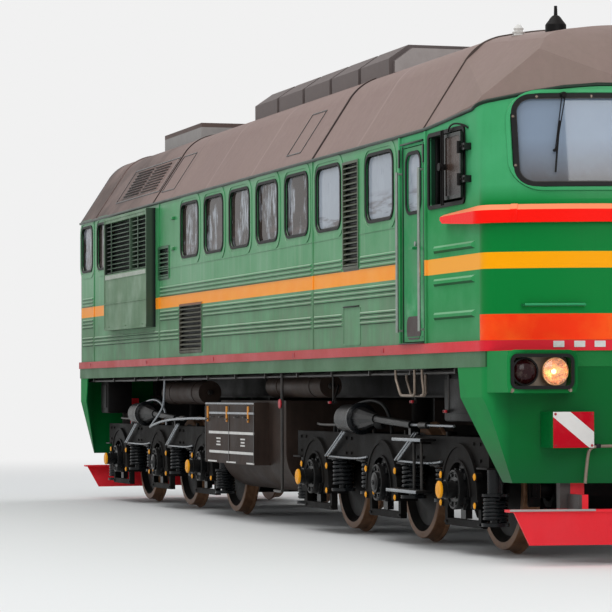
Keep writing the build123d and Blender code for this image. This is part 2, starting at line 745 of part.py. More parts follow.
def cab_door(side):
    """A cab door: a flush leaf with a tall window pane and a lever handle."""
    y_out, y_in = side * half_width, side * (half_width - door_thick)
    middle = sum(door_x) / 2
    leaf = block(*door_x, y_in, y_out, *door_z)
    leaf -= rounded_opening(middle, 370, 2940, 3440, 90, y_out - side * 21, y_out + side * 5)
    leaf -= block(middle - 185, middle + 185, y_in - side * 5, y_in + side * 21, 2940, 3440)
    grip = block(5918, 5942, y_out - side * 5, y_out + side * 45, 2606, 2630)
    return leaf + grip + block(5840, 5942, y_out + side * 30, y_out + side * 50, 2608, 2628)


def rear_door():
    """The end door to the other section, hung on hinges inside the doorway."""
    leaf = block(rear_end_x + 15, rear_end_x + 60, -322, 322, band_top_z + 28, 3692)
    return leaf - [block(rear_end_x, rear_end_x + 33, -200, 200, 2750, 3450),
                   block(rear_end_x + 43, rear_end_x + 100, -200, 200, 2750, 3450)]


def gangway():
    """The bellows frame round the end door."""
    x = rear_end_x
    outer = block(x - 560, x, -520, 520, 1640, 3900) - block(x - 700, x + 10, -420, 420, 1740, 3800)
    grooves = []
    for i in range(5):
        a = x - 500 + i * 100
        grooves.append(block(a, a + 50, -560, 560, 1600, 3960) - block(a - 5, a + 55, -490, 490, 1670, 3870))
    return outer - grooves


def roof_gear():
    """Radio pot with its cone and mast, an insulator and a horn on the cab roof."""
    x, y = 7025, -620
    pot = joined([rod_z(x, y, 4250, 4450, 88), rod_z(x, y, 4440, 4516, 45), rod_z(x, y, 4510, 4600, 14)])
    insulator = rod_z(6500, -750, 4360, 4450, 62) + rod_z(6500, -750, 4440, 4520, 35)
    horn = rod_z(6900, 380, 4300, 4520, 60) + rod_x(6800, 7080, 380, 4530, 55)
    under = cab_dome()
    under_pot = under & block(x - 150, x + 150, y - 150, y + 150, 4200, 4600)
    return [pot - under_pot, insulator - under, horn - under]


def headlight():
    """The big headlight in its fairing, on the centre line over the windscreens."""
    z = 4250
    return rod_x(6930, 7730, 0, z, 230) + rod_x(7725, 7755, 0, z, 190) - cab_dome()


def handrails():
    """Grab rails beside the doors and across the nose."""
    bar_r, foot = 14, 9
    rails = []
    for side in (-1, 1):
        y = side * (half_width + 55)
        for x in (door_x[0] - 30, door_x[1] + 30):
            feet = [block(x - foot, x + foot, side * half_width, y, z - foot, z + foot) for z in (1915, 3285)]
            rails.append(joined([rod_z(x, y, 1900, 3300, bar_r)] + feet))
        z = 2075
        ends = [(nose_surface_x(a) + 60, side * a, z) for a in (770, 1210)]
        feet = [block(x - 75, x, y - foot, y + foot, z - foot, z + foot) for x, y, z in ends]
        rails.append(joined([rod(*ends, bar_r)] + feet) - nose_solid(0, 2000, 2150, 7000))
    return rails


def wind_deflectors():
    """A glazed deflector hinged in front of each cab side window."""
    x0, x1 = 6785, 7185
    z0, z1 = 2975, 3520
    edge = 30
    deflectors = []
    for side in (-1, 1):
        y0, y1 = side * (half_width + 30), side * (half_width + 54)
        frame = block(x0, x1, y0, y1, z0, z1)
        frame -= block(x0 + edge, x1 - edge, y0 - side * 5, y0 + side * 8, z0 + edge, z1 - edge)
        frame -= block(x0 + edge, x1 - edge, y1 - side * 8, y1 + side * 5, z0 + edge, z1 - edge)
        wall_y, far_y = side * half_width, side * (half_width + 62)
        hinges = [block(7150, 7300, wall_y, far_y, z - 28, z + 28) for z in (3120, 3385)]
        deflectors.append(joined([frame] + hinges))
    return deflectors


def wheelset(x):
    """Two wheels pressed on one axle, as one turned solid."""
    back, face = wheel_back_y, wheel_back_y + tyre_width
    half = [(0, axle_half), (journal_r, axle_half), (journal_r, face), (wheel_radius, face),
            (wheel_radius, back + 34), (wheel_radius + flange_height, back), (journal_r, back)]
    profile = half + [(r, -y) for r, y in reversed(half)]
    turned = revolve(make_face(Polyline(*[(r, y, 0) for r, y in profile], close=True)), Axis.Y)
    return Pos(x, 0, axle_z) * turned


def axle_xs(cx):
    """The three axles of the bogie centred at cx, from the rear forward."""
    return [cx + i * axle_pitch for i in (-1, 0, 1)]


def spring_places(cx):
    """The springs of one side, as x and the bottom and top of the coil: the outermost ones sit lower."""
    places = []
    for i, ax in enumerate(axle_xs(cx)):
        for s in (-1, 1):
            at_end = (i == 0 and s < 0) or (i == 2 and s > 0)
            places.append((ax + s * spring_off, end_spring_z if at_end else inner_spring_z))
    return places


def bogie_frame(cx):
    """The bogie frame: two side sills with a proud arch over each axle box, joined by cross beams."""
    (y0, y1), (z0, z1) = frame_y, frame_z
    half_pitch = axle_pitch / 2
    stack = []
    cuts = []
    ties = []
    for side in (-1, 1):
        inside, outside = side * (y0 - 5), side * (y1 + arch_proud + 5)
        tie_y = (side * (y1 - 70), side * (y1 - 10))
        stack.append(block(cx - bogie_half, cx + bogie_half, side * y0, side * y1, z0, z1))
        for ax in axle_xs(cx):
            stack.append(rod_y(ax, side * y0, side * (y1 + arch_proud), arch_outer_z, arch_outer_r))
            cuts.append(rod_y(ax, inside, outside, arch_inner_z, arch_inner_r))
            cuts.append(block(ax - arch_inner_r, ax + arch_inner_r, inside, outside, 0, arch_inner_z))
            cuts.append(block(ax - 480, ax + 480, inside, outside, 0, arch_foot_z))
            ties.append(block(ax - 450, ax + 450, *tie_y, 240, 300))
            for s in (-1, 1):
                ties.append(block(ax + s * 385, ax + s * 450, *tie_y, 290, arch_foot_z + 40))
        for x in (cx - half_pitch, cx + half_pitch):
            stack.append(rod_z(x, side * 480, z1 - 10, bearer_top_z, 110))
    for x in (cx - half_pitch, cx + half_pitch):
        stack.append(block(x - 90, x + 90, -y0 - 5, y0 + 5, 800, z1))
    for end in (-1, 1):
        stack.append(block(cx + end * (bogie_half - 80), cx + end * bogie_half, -y0 - 5, y0 + 5, z0 + 10, z1 - 20))
    stack.append(block(cx - half_pitch, cx + half_pitch, -170, 170, z1 - 35, z1 + 60))
    frame = joined(stack) - cuts - rod_z(cx, 0, 900, 1200, 150)
    return joined([frame] + ties)


def axle_boxes(cx):
    """The axle boxes: a cast body in the frame's arch, a round cover, and a long cap on the outer axles."""
    crown_z = arch_inner_z + arch_inner_r - 14
    boxes = []
    for side in (-1, 1):
        for i, ax in enumerate(axle_xs(cx)):
            body = block(ax - 190, ax + 190, side * 950, side * 1235, axle_z - 170, axle_z + 175)
            body = chamfer(body.edges().filter_by(Axis.Y), 62)
            cap = (1320, 95) if i == 1 else (1430, 72)
            pieces = [
                body,
                block(ax - 70, ax + 70, side * 1060, side * 1220, axle_z + 160, crown_z),
                block(ax - 60, ax + 60, side * 1150, side * 1210, 306, axle_z - 160),
                rod_y(ax, side * 1230, side * 1290, axle_z, 165),
                rod_y(ax, side * 1280, side * cap[0], axle_z, cap[1]),
            ]
            bore = rod_y(ax, side * 900, side * (axle_half + 25), axle_z, journal_r + 10)
            boxes.append(joined(pieces) - bore)
    return boxes


def springs(cx):
    """The coil springs on both sides of each axle box, as plain drums between square seats."""
    drums = []
    top = frame_z[0]
    for side in (-1, 1):
        y = side * frame_mid_y
        for x, (z0, z1) in spring_places(cx):
            seat = block(x - seat_half, x + seat_half, y - seat_half, y + seat_half, z0 - seat_high, z0)
            pad_half = seat_half if z1 > top - 50 else 75
            pad = block(x - pad_half, x + pad_half, y - pad_half, y + pad_half, z1, top)
            drums.append(joined([rod_z(x, y, z0, z1, spring_r), seat, pad]))
    return drums


def motors(cx):
    """Three axle-hung traction motors with their gear cases, between the wheels."""
    units = []
    for ax, toward in zip(axle_xs(cx), (1, 1, -1)):
        mx, mz = ax + toward * motor_off, axle_z + 30
        case = [(-300, -140), (-300, 140), (-140, 300), (140, 300), (motor_off + 80, 210), (motor_off + 180, 110),
                (motor_off + 180, -50), (motor_off + 80, -150), (140, -300), (-140, -300)]
        pieces = [
            side_prism(octagon(mx, mz, motor_half), -motor_long, motor_long),
            side_prism(octagon(ax, axle_z, 160), -440, 440),
            block(ax + toward * 110, mx, -400, 400, axle_z - 120, axle_z + 120),
            side_prism([(ax + toward * a, axle_z + b) for a, b in case], motor_long - 10, 640),
        ]
        units.append(joined(pieces) - rod_y(ax, -800, 800, axle_z, journal_r + 30))
    return units


def brake_gear(cx):
    """One brake cylinder on each side, with its cone and push rod, standing on the bogie's sill."""
    y, z = brake_y, brake_z
    x0, x1 = cx - 980, cx - 540
    cone_end, rod_end = cx - 80, cx + 870
    near, far = ((Plane(origin=(x, y, z), z_dir=(1, 0, 0)) * RegularPolygon(r, 12)).faces()[0]
                 for x, r in ((x1, 118), (cone_end, 45)))
    unit = joined([
        rod_x(x0, x1 - 40, y, z, 130),
        rod_x(x1 - 40, x1, y, z, 142),
        loft([near, far], ruled=True),
        rod((cone_end - 10, y, z), (rod_end, y - 20, z - 45), 34),
        block(rod_end - 60, rod_end, y - 100, y - 10, frame_z[1], z - 50),
        block(x0 + 60, x1 - 100, y - 140, y - 60, frame_z[1], z - 60),
    ])
    return [unit, mirrored(unit)]


def several(shapes):
    """Pieces of one node that don't touch."""
    return Compound(children=shapes)


def build():
    """Every node of the locomotive, by name."""
    nodes = {
        "underframe": underframe(),
        "sole_band": sole_band(),
        "side_wall_right": side_wall(-1),
        "side_wall_left": side_wall(1),
        "rear_wall": rear_wall(),
        "cab_walls": cab_walls(),
        "cab_belt": cab_belt(),
        "roof_cab": cab_roof(),
        "roof_front": front_roof(),
        "roof_middle": middle_roof(),
        "roof_rear": rear_roof(),
        "roof_hatches": roof_hatches(),
        "fan_housing": fan_housing(),
        "fan_rotor": fan_rotor(),
        "radiator_shutters": radiator_shutters(),
        "side_windows": several(side_panes()),
        "windscreens": windscreens(),
        "cab_door_right": cab_door(-1),
        "cab_door_left": cab_door(1),
        "rear_door": rear_door(),
        "gangway": gangway(),
        "skirt_front": skirt_front(),
        "skirt_rear": skirt_rear(),
        "plough_front": plough(1),
        "plough_rear": plough(-1),
        "coupler_front": coupler(1),
        "coupler_rear": coupler(-1),
        "fuel_tank": fuel_tank(),
        "air_reservoirs": several(air_reservoirs()),
        "engine": engine(),
        "cab_bulkhead": cab_bulkhead(),
        "cab_desk": cab_desk(),
        "cab_seats": several(cab_seats()),
        "headlight": headlight(),
        "lamps": several(lamps()),
        "handrails": several(handrails()),
        "roof_gear": several(roof_gear()),
        "wind_deflectors": several(wind_deflectors()),
    }
    number = 0
    for name, cx in bogie_x.items():
        nodes["bogie_frame_" + name] = bogie_frame(cx)
        nodes["axle_boxes_" + name] = several(axle_boxes(cx))
        nodes["springs_" + name] = several(springs(cx))
        nodes["motors_" + name] = several(motors(cx))
        nodes["brake_gear_" + name] = several(brake_gear(cx))
        for i in (1, 0, -1):
            number += 1
            nodes[f"wheelset_{number}"] = wheelset(cx + i * axle_pitch)
    return nodes


os.makedirs("parts", exist_ok=True)
for node_name, shape in build().items():
    export_step(shape, f"parts/{node_name}.step")
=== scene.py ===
# %% [markdown]
# # One section of a diesel locomotive
# The CAD frame already holds the walls, roofs, bogies and wheels at their real size. This lesson dresses it:
# enamel that has faded and picked up road dirt, rubber round the windows, real coils in the springs, turned
# wheels, lamps, pipes and grab rails. Everything is in metres, +X forward, +Y left, +Z up, and z = 0 is the
# lowest point of the wheel flanges.

# %% Load the frame
import math

import bmesh
import bpy
from mathutils import Matrix, Vector


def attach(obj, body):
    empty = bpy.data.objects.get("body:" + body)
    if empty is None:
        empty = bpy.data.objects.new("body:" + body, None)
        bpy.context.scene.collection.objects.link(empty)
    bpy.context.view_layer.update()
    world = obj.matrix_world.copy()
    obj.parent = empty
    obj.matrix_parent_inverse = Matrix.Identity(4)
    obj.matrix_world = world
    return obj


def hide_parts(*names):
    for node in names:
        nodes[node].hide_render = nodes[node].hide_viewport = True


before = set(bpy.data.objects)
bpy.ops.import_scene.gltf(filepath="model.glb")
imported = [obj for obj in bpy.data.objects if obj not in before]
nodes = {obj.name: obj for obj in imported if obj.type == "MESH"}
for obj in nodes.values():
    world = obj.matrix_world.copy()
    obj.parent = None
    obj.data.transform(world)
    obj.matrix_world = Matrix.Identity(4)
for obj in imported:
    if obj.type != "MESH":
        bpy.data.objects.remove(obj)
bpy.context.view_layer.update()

# %% [markdown]
# ## Camera
# The photograph was taken with a long lens from the right of the track, a long way ahead of the engine. The
# place and the direction were worked out from the wheel places and the roof height. Camera and lens give the
# same perspective when the distance is the same, so the distance matters more here than the lens.

# %% Camera
CAMERA_PLACE = Vector((29.245, -9.472, 1.367))
CAMERA_YAW, CAMERA_PITCH, CAMERA_ROLL = math.radians(16.70), math.radians(1.762), math.radians(-0.204)
FOCAL_PIXELS, PHOTO_PIXELS = 2863.4, 612
SENSOR = 36.0

looking = Vector((-math.cos(CAMERA_YAW) * math.cos(CAMERA_PITCH),
                  math.sin(CAMERA_YAW) * math.cos(CAMERA_PITCH),
                  math.sin(CAMERA_PITCH)))
level_right = looking.cross(Vector((0, 0, 1))).normalized()
level_up = level_right.cross(looking)
right = math.cos(CAMERA_ROLL) * level_right + math.sin(CAMERA_ROLL) * level_up
up = right.cross(looking)
camera = bpy.data.objects.new("photo_camera", bpy.data.cameras.new("photo_camera"))
bpy.context.scene.collection.objects.link(camera)
camera.data.sensor_width = SENSOR
camera.data.lens = SENSOR * FOCAL_PIXELS / PHOTO_PIXELS
camera.data.clip_end = 1000
turn = Matrix((right, up, -looking)).transposed().to_4x4()
camera.matrix_world = Matrix.Translation(CAMERA_PLACE) @ turn
bpy.context.scene.camera = camera
bpy.context.scene.view_settings.view_transform = "Standard"
print("lens", round(camera.data.lens, 1), "mm")

# %% [markdown]
# ## Colours and nodes
# A paint is chosen as an sRGB hex value, the way a paint chart shows it. Shaders work in linear light, so
# one function turns the hex into linear numbers. A second small function adds a node with its settings and
# links, which keeps each material to a few readable lines.


# %% Helpers for materials
def linear(code):
    """An sRGB hex colour as linear RGBA."""
    channels = [int(code[i:i + 2], 16) / 255 for i in (0, 2, 4)]
    return (*[c / 12.92 if c <= 0.04045 else ((c + 0.055) / 1.055) ** 2.4 for c in channels], 1.0)


def enabled(sockets, name=None):
    """The first socket in use, of one name where a name is given."""
    return next(s for s in sockets if s.enabled and name in (None, s.name))


def node(tree, kind, inputs=None, **settings):
    """Add a node; inputs maps a socket's name or number to a value or to another node."""
    made = tree.nodes.new("ShaderNode" + kind)
    for key, value in settings.items():
        setattr(made, key, value)
    for key, value in (inputs or {}).items():
        socket = made.inputs[key] if isinstance(key, int) else enabled(made.inputs, key)
        if isinstance(value, bpy.types.Node):
            value = enabled(value.outputs)
        if isinstance(value, bpy.types.NodeSocket):
            tree.links.new(value, socket)
        else:
            socket.default_value = value
    return made


def new_material(name):
    """An empty node material with its Principled shader and output joined."""
    made = bpy.data.materials.new(name)
    made.use_nodes = True
    tree = made.node_tree
    tree.nodes.clear()
    shader = node(tree, "BsdfPrincipled")
    node(tree, "OutputMaterial", {"Surface": shader})
    return made, tree, shader


print("a mid green in linear light", [round(c, 3) for c in linear("388a53")])

# %% [markdown]
# ## Patterns that several finishes share
# Dirt on a vehicle follows the weather: rain draws it into vertical streaks, wheels throw it up from below,
# and paint chalks in broad patches. Image textures could show that, but they would have to be unwrapped onto
# every sheet. Noise of a real size needs no unwrapping, and a ramp along an axis puts it at the right
# height. All of it reads object coordinates, so it stays on the metal from any side.

# %% Noise of a real size
# Rain runs down a wall in streaks about 90 mm wide, and paint chalks in patches of about a metre.
STREAK_WIDTH, STREAK_LENGTH = 0.09, 1.6
PATCH_SIZE = 1.1
# Real grit is finer than a millimetre; 12 mm is as fine as shows from the camera's distance.
GRIT_SIZE = 0.012


def mottle(tree, size, low=0.35, high=0.65, stretch=(1, 1, 1), detail=6.0):
    """Noise of one real size in metres, spread to run from 0 to 1."""
    spot = node(tree, "TexCoord").outputs["Object"]
    mapped = node(tree, "Mapping", {"Vector": spot, "Scale": [1 / (size * s) for s in stretch]})
    noise = node(tree, "TexNoise", {"Vector": mapped, "Scale": 1.0, "Detail": detail, "Roughness": 0.6})
    return node(tree, "MapRange", {"Value": noise.outputs["Fac"], "From Min": low, "From Max": high})


def rain_streaks(tree, low=0.45, high=0.7):
    """Noise drawn out along Z, as rain draws dirt down a wall."""
    return mottle(tree, STREAK_WIDTH, low, high, stretch=(1, 1, STREAK_LENGTH / STREAK_WIDTH), detail=4.0)


print("patches", PATCH_SIZE, "m, streaks", STREAK_LENGTH, "m long, grit", GRIT_SIZE, "m")

# %% Places and slants
CRISP = 0.002


def ramp(tree, axis, start, stop):
    """A value that goes from 0 to 1 between two places on an axis; Y counts alike on both sides."""
    spot = node(tree, "SeparateXYZ", {"Vector": node(tree, "TexCoord").outputs["Object"]}).outputs[axis]
    if axis == "Y":
        spot = node(tree, "Math", {0: spot}, operation="ABSOLUTE")
    return node(tree, "MapRange", {"Value": spot, "From Min": start, "From Max": stop})


def tilt(tree, start, stop, most=1.0):
    """A value that grows from 0 as a face turns from one slant to another; 1 faces up and -1 faces down."""
    slant = node(tree, "SeparateXYZ", {"Vector": node(tree, "NewGeometry").outputs["Normal"]}).outputs["Z"]
    return node(tree, "MapRange", {"Value": slant, "From Min": start, "From Max": stop, "To Max": most})


def both(tree, pattern, *others):
    """1 only where all the patterns are 1."""
    for other in others:
        pattern = node(tree, "Math", {0: pattern, 1: other}, operation="MULTIPLY")
    return pattern


def band(tree, axis, low, high, edge=CRISP):
    """1 between two places on an axis, with a crisp edge."""
    return both(tree, ramp(tree, axis, low - edge, low + edge), ramp(tree, axis, high + edge, high - edge))


def window(tree, left, right, low, high):
    """1 inside a rectangle of the side, such as a grille."""
    return both(tree, band(tree, "X", left, right), band(tree, "Z", low, high))


print("painted edges are", 2 * CRISP, "m soft")

# %% [markdown]
# ## Coats of paint
# Painters lay coats over each other, and the weather adds its own. A finish here is built the same way: a
# ground colour, then a list of coats, each with the pattern that says where it lies, how much it covers at
# most, and its colour. The order in the list is the order on the metal, which is easier to think about than
# a tree of mixes.


# %% Coats
def coats(tree, ground, layers):
    """Lay coats over a ground colour; each is a pattern, how much it covers at most, and its colour."""
    for cover, most, top in layers:
        amount = node(tree, "Math", {0: cover, 1: most}, operation="MULTIPLY")
        ground = node(tree, "Mix", {"Factor": amount, "A": ground, "B": linear(top)}, data_type="RGBA")
    return ground


def surface(tree, shader, colour, dull, gloss, grain):
    """Join a colour, a roughness range that a pattern dulls, and bumps with their depths."""
    rough = node(tree, "MapRange", {"Value": dull, "To Min": gloss[0], "To Max": gloss[1]})
    tree.links.new(enabled(colour.outputs), shader.inputs["Base Color"])
    tree.links.new(rough.outputs[0], shader.inputs["Roughness"])
    lower = {}
    for pattern, depth in grain:
        bump = node(tree, "Bump", {"Height": pattern, "Strength": 1.0, "Distance": depth, **lower})
        lower = {"Normal": bump}
    tree.links.new(bump.outputs["Normal"], shader.inputs["Normal"])


print("coats are laid in the order of their list")

# %% [markdown]
# ## Green enamel
# The body is sheet steel under brushed and sprayed alkyd enamel. It keeps a fair gloss over slow ripples in
# the sheet. Years of washing chalk it in patches, and dust from the track greys it from the sill up to the
# stripe. The stripes are bands of other enamels at fixed heights, so they are coats as well, and need no
# edges cut into the mesh. Every green has the same build, so one function makes them all from their lists of
# coats.

# %% Green enamel
# Near-black used twice: as real soot in the dusty finishes, and as painted shade inside walls, reveals and
# boxes.
SOOT_AND_SHADE = "14171a"
STRIPE = (2.372, 2.504)
NOSE_BAND = (1.796, 2.005)
BEND_X = 7.48
WALL_INSIDE_Y = (1.462, 1.452)
# Body sheets sag a millimetre or so between their ribs, some 350 mm apart.
PAINT_RIPPLE, RIPPLE_DEPTH = 0.35, 0.0012
GRIT_DEPTH = 0.0002
ENAMEL_GLOSS = (0.28, 0.6)
# Old enamel is too chalky to mirror the pale studio as much as a new coat would.
ENAMEL_MIRROR = 0.1


def enamel(name, green, layers):
    """Green enamel under its coats; the first pattern also dulls the gloss."""
    made, tree, shader = new_material(name)
    laid = layers(tree)
    colour = coats(tree, linear(green), laid)
    ripples = mottle(tree, PAINT_RIPPLE, 0.3, 0.7, detail=1.0)
    grain = [(ripples, RIPPLE_DEPTH), (mottle(tree, GRIT_SIZE), GRIT_DEPTH)]
    surface(tree, shader, colour, laid[0][0], ENAMEL_GLOSS, grain)
    shader.inputs["Specular IOR Level"].default_value = ENAMEL_MIRROR
    print(name, "has", len(laid), "coats")
    return made


# %% Enamel of the body sides
def side_coats(tree):
    """Road dust below, chalked patches, rain streaks, the stripe, and painted light: shade under the gutter,
    highlights on upward faces, shade on downward faces, over the grilles and inside the wall.
    """
    stripe = band(tree, "Z", *STRIPE)
    return [
        (both(tree, ramp(tree, "Z", 2.62, 2.2), mottle(tree, 0.4, 0.2, 0.62)), 0.85, "6b8069"),
        (mottle(tree, PATCH_SIZE), 0.45, "79ab86"),
        (both(tree, mottle(tree, 0.7, 0.5, 0.7), ramp(tree, "Z", 2.95, 3.5)), 0.5, "2fa05a"),
        (both(tree, rain_streaks(tree, 0.5, 0.75), ramp(tree, "Z", 3.5, 2.7)), 0.25, "a9bfa6"),
        (both(tree, rain_streaks(tree, 0.42, 0.62), ramp(tree, "Z", 2.9, 1.9)), 0.3, "43523f"),
        (stripe, 1.0, "ff981c"),
        (both(tree, stripe, mottle(tree, 0.5, 0.35, 0.75)), 0.5, "ffac40"),
        # Painted shade: the wall darkens just under the gutter.
        (ramp(tree, "Z", 3.56, 3.62), 0.5, "31443a"),
        # Painted highlight: faces that turn upwards, such as the tops of the ribs, are paler.
        (both(tree, tilt(tree, 0.25, 0.6), ramp(tree, "Z", 3.5, 3.4)), 0.65, "c9d8c2"),
        # Painted shade: faces that turn downwards, under the ribs, are darker.
        (tilt(tree, -0.25, -0.6), 0.8, "1d2e24"),
        # Painted shade: the three grille areas are darkened to stand for their depth.
        (window(tree, 3.81, 4.29, 2.5, 3.52), 0.85, "473a36"),
        (window(tree, -2.41, -1.4, 1.83, 2.395), 0.85, "4a3d39"),
        (window(tree, -3.43, -2.9, 2.7, 3.1), 0.7, "27382d"),
        # Painted shade: everything set in from the wall's outer face, such as reveals and recesses, is made
        # near-black.
        (ramp(tree, "Y", *WALL_INSIDE_Y), 0.93, SOOT_AND_SHADE),
    ]


# Brushed alkyd enamel, chalked by washing and dust: a pale, uneven green with a soft sheen.
side_enamel = enamel("side_enamel", "388a53", side_coats)


# %% Enamel of the cab
def cab_coats(tree):
    """A clean deep green nose; paler sides, partly faded and partly painted sky reflection; a paler brow of
    painted sky reflection; painted highlights on upward and shade on downward faces; the stripe, the nose's
    orange band, and painted shade inside.
    """
    on_side = ramp(tree, "X", BEND_X + 0.015, BEND_X - 0.015)
    stripe = both(tree, band(tree, "Z", *STRIPE), ramp(tree, "X", 6.13, 6.135))
    nose_band = both(tree, band(tree, "Z", *NOSE_BAND), ramp(tree, "X", BEND_X - CRISP, BEND_X + CRISP))
    inside = both(tree, ramp(tree, "X", 7.43, 7.42), ramp(tree, "Y", 1.468, 1.46))
    return [
        # Paler cab sides in two coats: partly fading, partly a painted reflection of the pale sky at a
        # grazing angle.
        (on_side, 0.95, "2c9050"),
        (both(tree, on_side, mottle(tree, 0.5, 0.4, 0.7)), 0.4, "5da878"),
        # Painted reflection: the leaning part round the windscreens is paler, as the sky would show in it.
        (ramp(tree, "Z", 2.9, 3.05), 0.75, "46a36c"),
        (both(tree, mottle(tree, 0.8), ramp(tree, "Z", 2.9, 3.2)), 0.35, "5cb583"),
        (both(tree, on_side, ramp(tree, "Z", 2.2, 1.8)), 0.3, "55745a"),
        # Painted highlight on faces that turn upwards, and painted shade on faces that turn downwards.
        (tilt(tree, 0.3, 0.7), 0.5, "9cc7a4"),
        (tilt(tree, -0.3, -0.7), 0.7, "16301f"),
        (rain_streaks(tree, 0.55, 0.8), 0.1, "1c3a2a"),
        (stripe, 1.0, "ffa800"),
        (both(tree, stripe, on_side), 1.0, "ffae44"),
        (nose_band, 1.0, "ff380c"),
        (both(tree, nose_band, mottle(tree, 0.6, 0.4, 0.7)), 0.7, "ff7420"),
        # Painted shade: inside the cab and in the window reveals the green is made near-black.
        (inside, 0.9, SOOT_AND_SHADE),
    ]


# Sprayed alkyd enamel, wiped clean round the nose: a deep, even green with more gloss.
nose_enamel = enamel("nose_enamel", "007a33", cab_coats)


# %% Enamel of doors, aprons and shutters
def door_coats(tree):
    """The cab's paler green with hand dirt and streaks, painted shade inside the door's face, and no stripe.
    """
    return [
        (mottle(tree, 0.3, 0.45, 0.7), 0.4, "3c9a5f"),
        (both(tree, mottle(tree, 0.25, 0.5, 0.7), ramp(tree, "Z", 2.5, 2.0)), 0.5, "7fbf95"),
        (rain_streaks(tree, 0.5, 0.75), 0.3, "2c5a3d"),
        # Painted shade: set in from the door's outer face it is made near-black.
        (ramp(tree, "Y", *WALL_INSIDE_Y), 0.85, SOOT_AND_SHADE),
    ]


def skirt_coats(tree):
    """Deep green in front, paler on the sides, darker towards the bottom, and darker in patches below the top
    edge.
    """
    return [
        (ramp(tree, "Y", 1.3, 1.42), 0.6, "22994f"),
        (mottle(tree, 0.5, 0.5, 0.75), 0.35, "17603a"),
        (ramp(tree, "Z", 0.95, 0.62), 0.35, "1d4a33"),
        (both(tree, ramp(tree, "Z", 1.36, 1.2), mottle(tree, 0.3, 0.4, 0.7)), 0.3, "0f5a34"),
    ]


def shutter_coats(tree):
    """Greyer green and streaked, with painted shade over the grille, black in its recessed left end and
    inside the box, and on the forward-facing end, which has soot as well.
    """
    return [
        (mottle(tree, 0.5, 0.35, 0.65), 0.5, "61795f"),
        (rain_streaks(tree, 0.45, 0.7), 0.35, "8b9a83"),
        # Painted shade over the depth of the grille.
        (window(tree, -5.82, -3.61, 2.866, 3.5), 0.75, "3b473d"),
        # Painted shadow of the deep recess at the grille's left end.
        (window(tree, -5.82, -5.5, 2.866, 3.5), 0.85, "101312"),
        # Painted shade on the end that faces forward, which also has soot.
        (ramp(tree, "X", -3.60, -3.585), 0.8, "232c26"),
        # Painted shade: set in from the box's outer face it is made near-black.
        (ramp(tree, "Y", 1.53, 1.49), 0.93, SOOT_AND_SHADE),
    ]


# Brushed enamel on doors, rubbed by hands: paler, with smudges low down.
door_enamel = enamel("door_enamel", "2b8a52", door_coats)
# Sprayed enamel on the aprons, mostly in shade: the deepest green.
skirt_enamel = enamel("skirt_enamel", "006028", skirt_coats)
# Enamel on hot radiator boxes: baked to a grey green, streaked and dull.
shutter_enamel = enamel("shutter_enamel", "688a6b", shutter_coats)

# %% [markdown]
# ## Plainer finishes
# The other paints and castings differ in colour, dirt and gloss, but not in kind, so one function makes
# them. Dust settles where a face looks upwards, which the normal's Z tells, and broad noise breaks it up. A
# few parts have an extra coat at one place, such as the green face of the black frame's sill.


# %% Dusty paints and castings
CAST_DEPTH = 0.0005


def dusty(name, base, dust, cover=0.5, size=0.5, rough=(0.45, 0.8), metallic=0.0, settle=0.4, streaky=0.0,
          sooty=0.1, mirror=0.2, extra=None):
    """Paint or casting under a coat of dust that lies thickest on what faces up."""
    made, tree, shader = new_material(name)
    patches = node(tree, "Math", {0: mottle(tree, size, 0.35, 0.68), 1: cover}, operation="MULTIPLY")
    dusted = node(tree, "Math", {0: patches, 1: tilt(tree, -0.2, 1.0, settle)}, operation="ADD",
                  use_clamp=True)
    laid = [(dusted, 1.0, dust), (mottle(tree, 0.06, 0.3, 0.75), sooty, SOOT_AND_SHADE)]
    if streaky:
        laid.append((rain_streaks(tree), streaky, dust))
    laid += extra(tree) if extra else []
    colour = coats(tree, linear(base), laid)
    surface(tree, shader, colour, dusted, rough, [(mottle(tree, GRIT_SIZE * 2), CAST_DEPTH)])
    shader.inputs["Metallic"].default_value = metallic
    shader.inputs["Specular IOR Level"].default_value = mirror
    print(name, "has", len(laid), "coats")
    return made


# %% Roof paints
WELDS, WELD_WIDTH = (-1.3, 0.55, 4.2), 0.03
# Where the roof's sections meet, and half the width of each dark joint.
JOINTS = ((2.815, 0.022), (-3.7, 0.012), (6.1, 0.008), (-6.89, 0.012), (-2.85, 0.004))


def roof_coats(tree):
    """Pale weld lines and dark joints across the roof, darker dirt forward, and soot round the fan."""
    lines = [(band(tree, "X", x, x + WELD_WIDTH, 0.02), 0.4, "b3a199") for x in WELDS]
    lines += [(band(tree, "X", x - half, x + half, 0.006), 0.85, "2a2120") for x, half in JOINTS]
    return lines + [(both(tree, ramp(tree, "X", 3.0, 7.0), mottle(tree, 0.9, 0.3, 0.7)), 0.5, "75665c"),
                    (both(tree, ramp(tree, "X", -3.6, -5.5), mottle(tree, 0.6, 0.3, 0.6)), 0.75, "4c423e")]


# Oil paint brushed on rolled steel: chalked by sun and soot, so it is matt, with broad paler patches.
roof_paint = dusty("roof_paint", "86706a", "9a8780", 0.5, 0.9, (0.55, 0.85), settle=0.1, streaky=0.2,
                   extra=roof_coats)
# Thin grey paint on pressed steel hatches: cooler and darker than the roof.
roof_steel = dusty("roof_steel", "5f5654", "786e6b", 0.5, 0.5, (0.55, 0.85), settle=0.2)
# Galvanised sheet of the fan's duct: pale and dull, with rust along its top edge.
duct_steel = dusty("fan_duct_steel", "918d8a", "aaa5a2", 0.5, 0.5, (0.55, 0.85), settle=0.1,
                   extra=lambda tree: [(ramp(tree, "Z", 4.615, 4.62), 0.9, "54413b")])
# Dark green enamel of the gutter, which soot keeps nearly black.
gutter_green = dusty("gutter_enamel", "0a2618", "1c3527", 0.4, 0.3, (0.3, 0.5), settle=0.1)
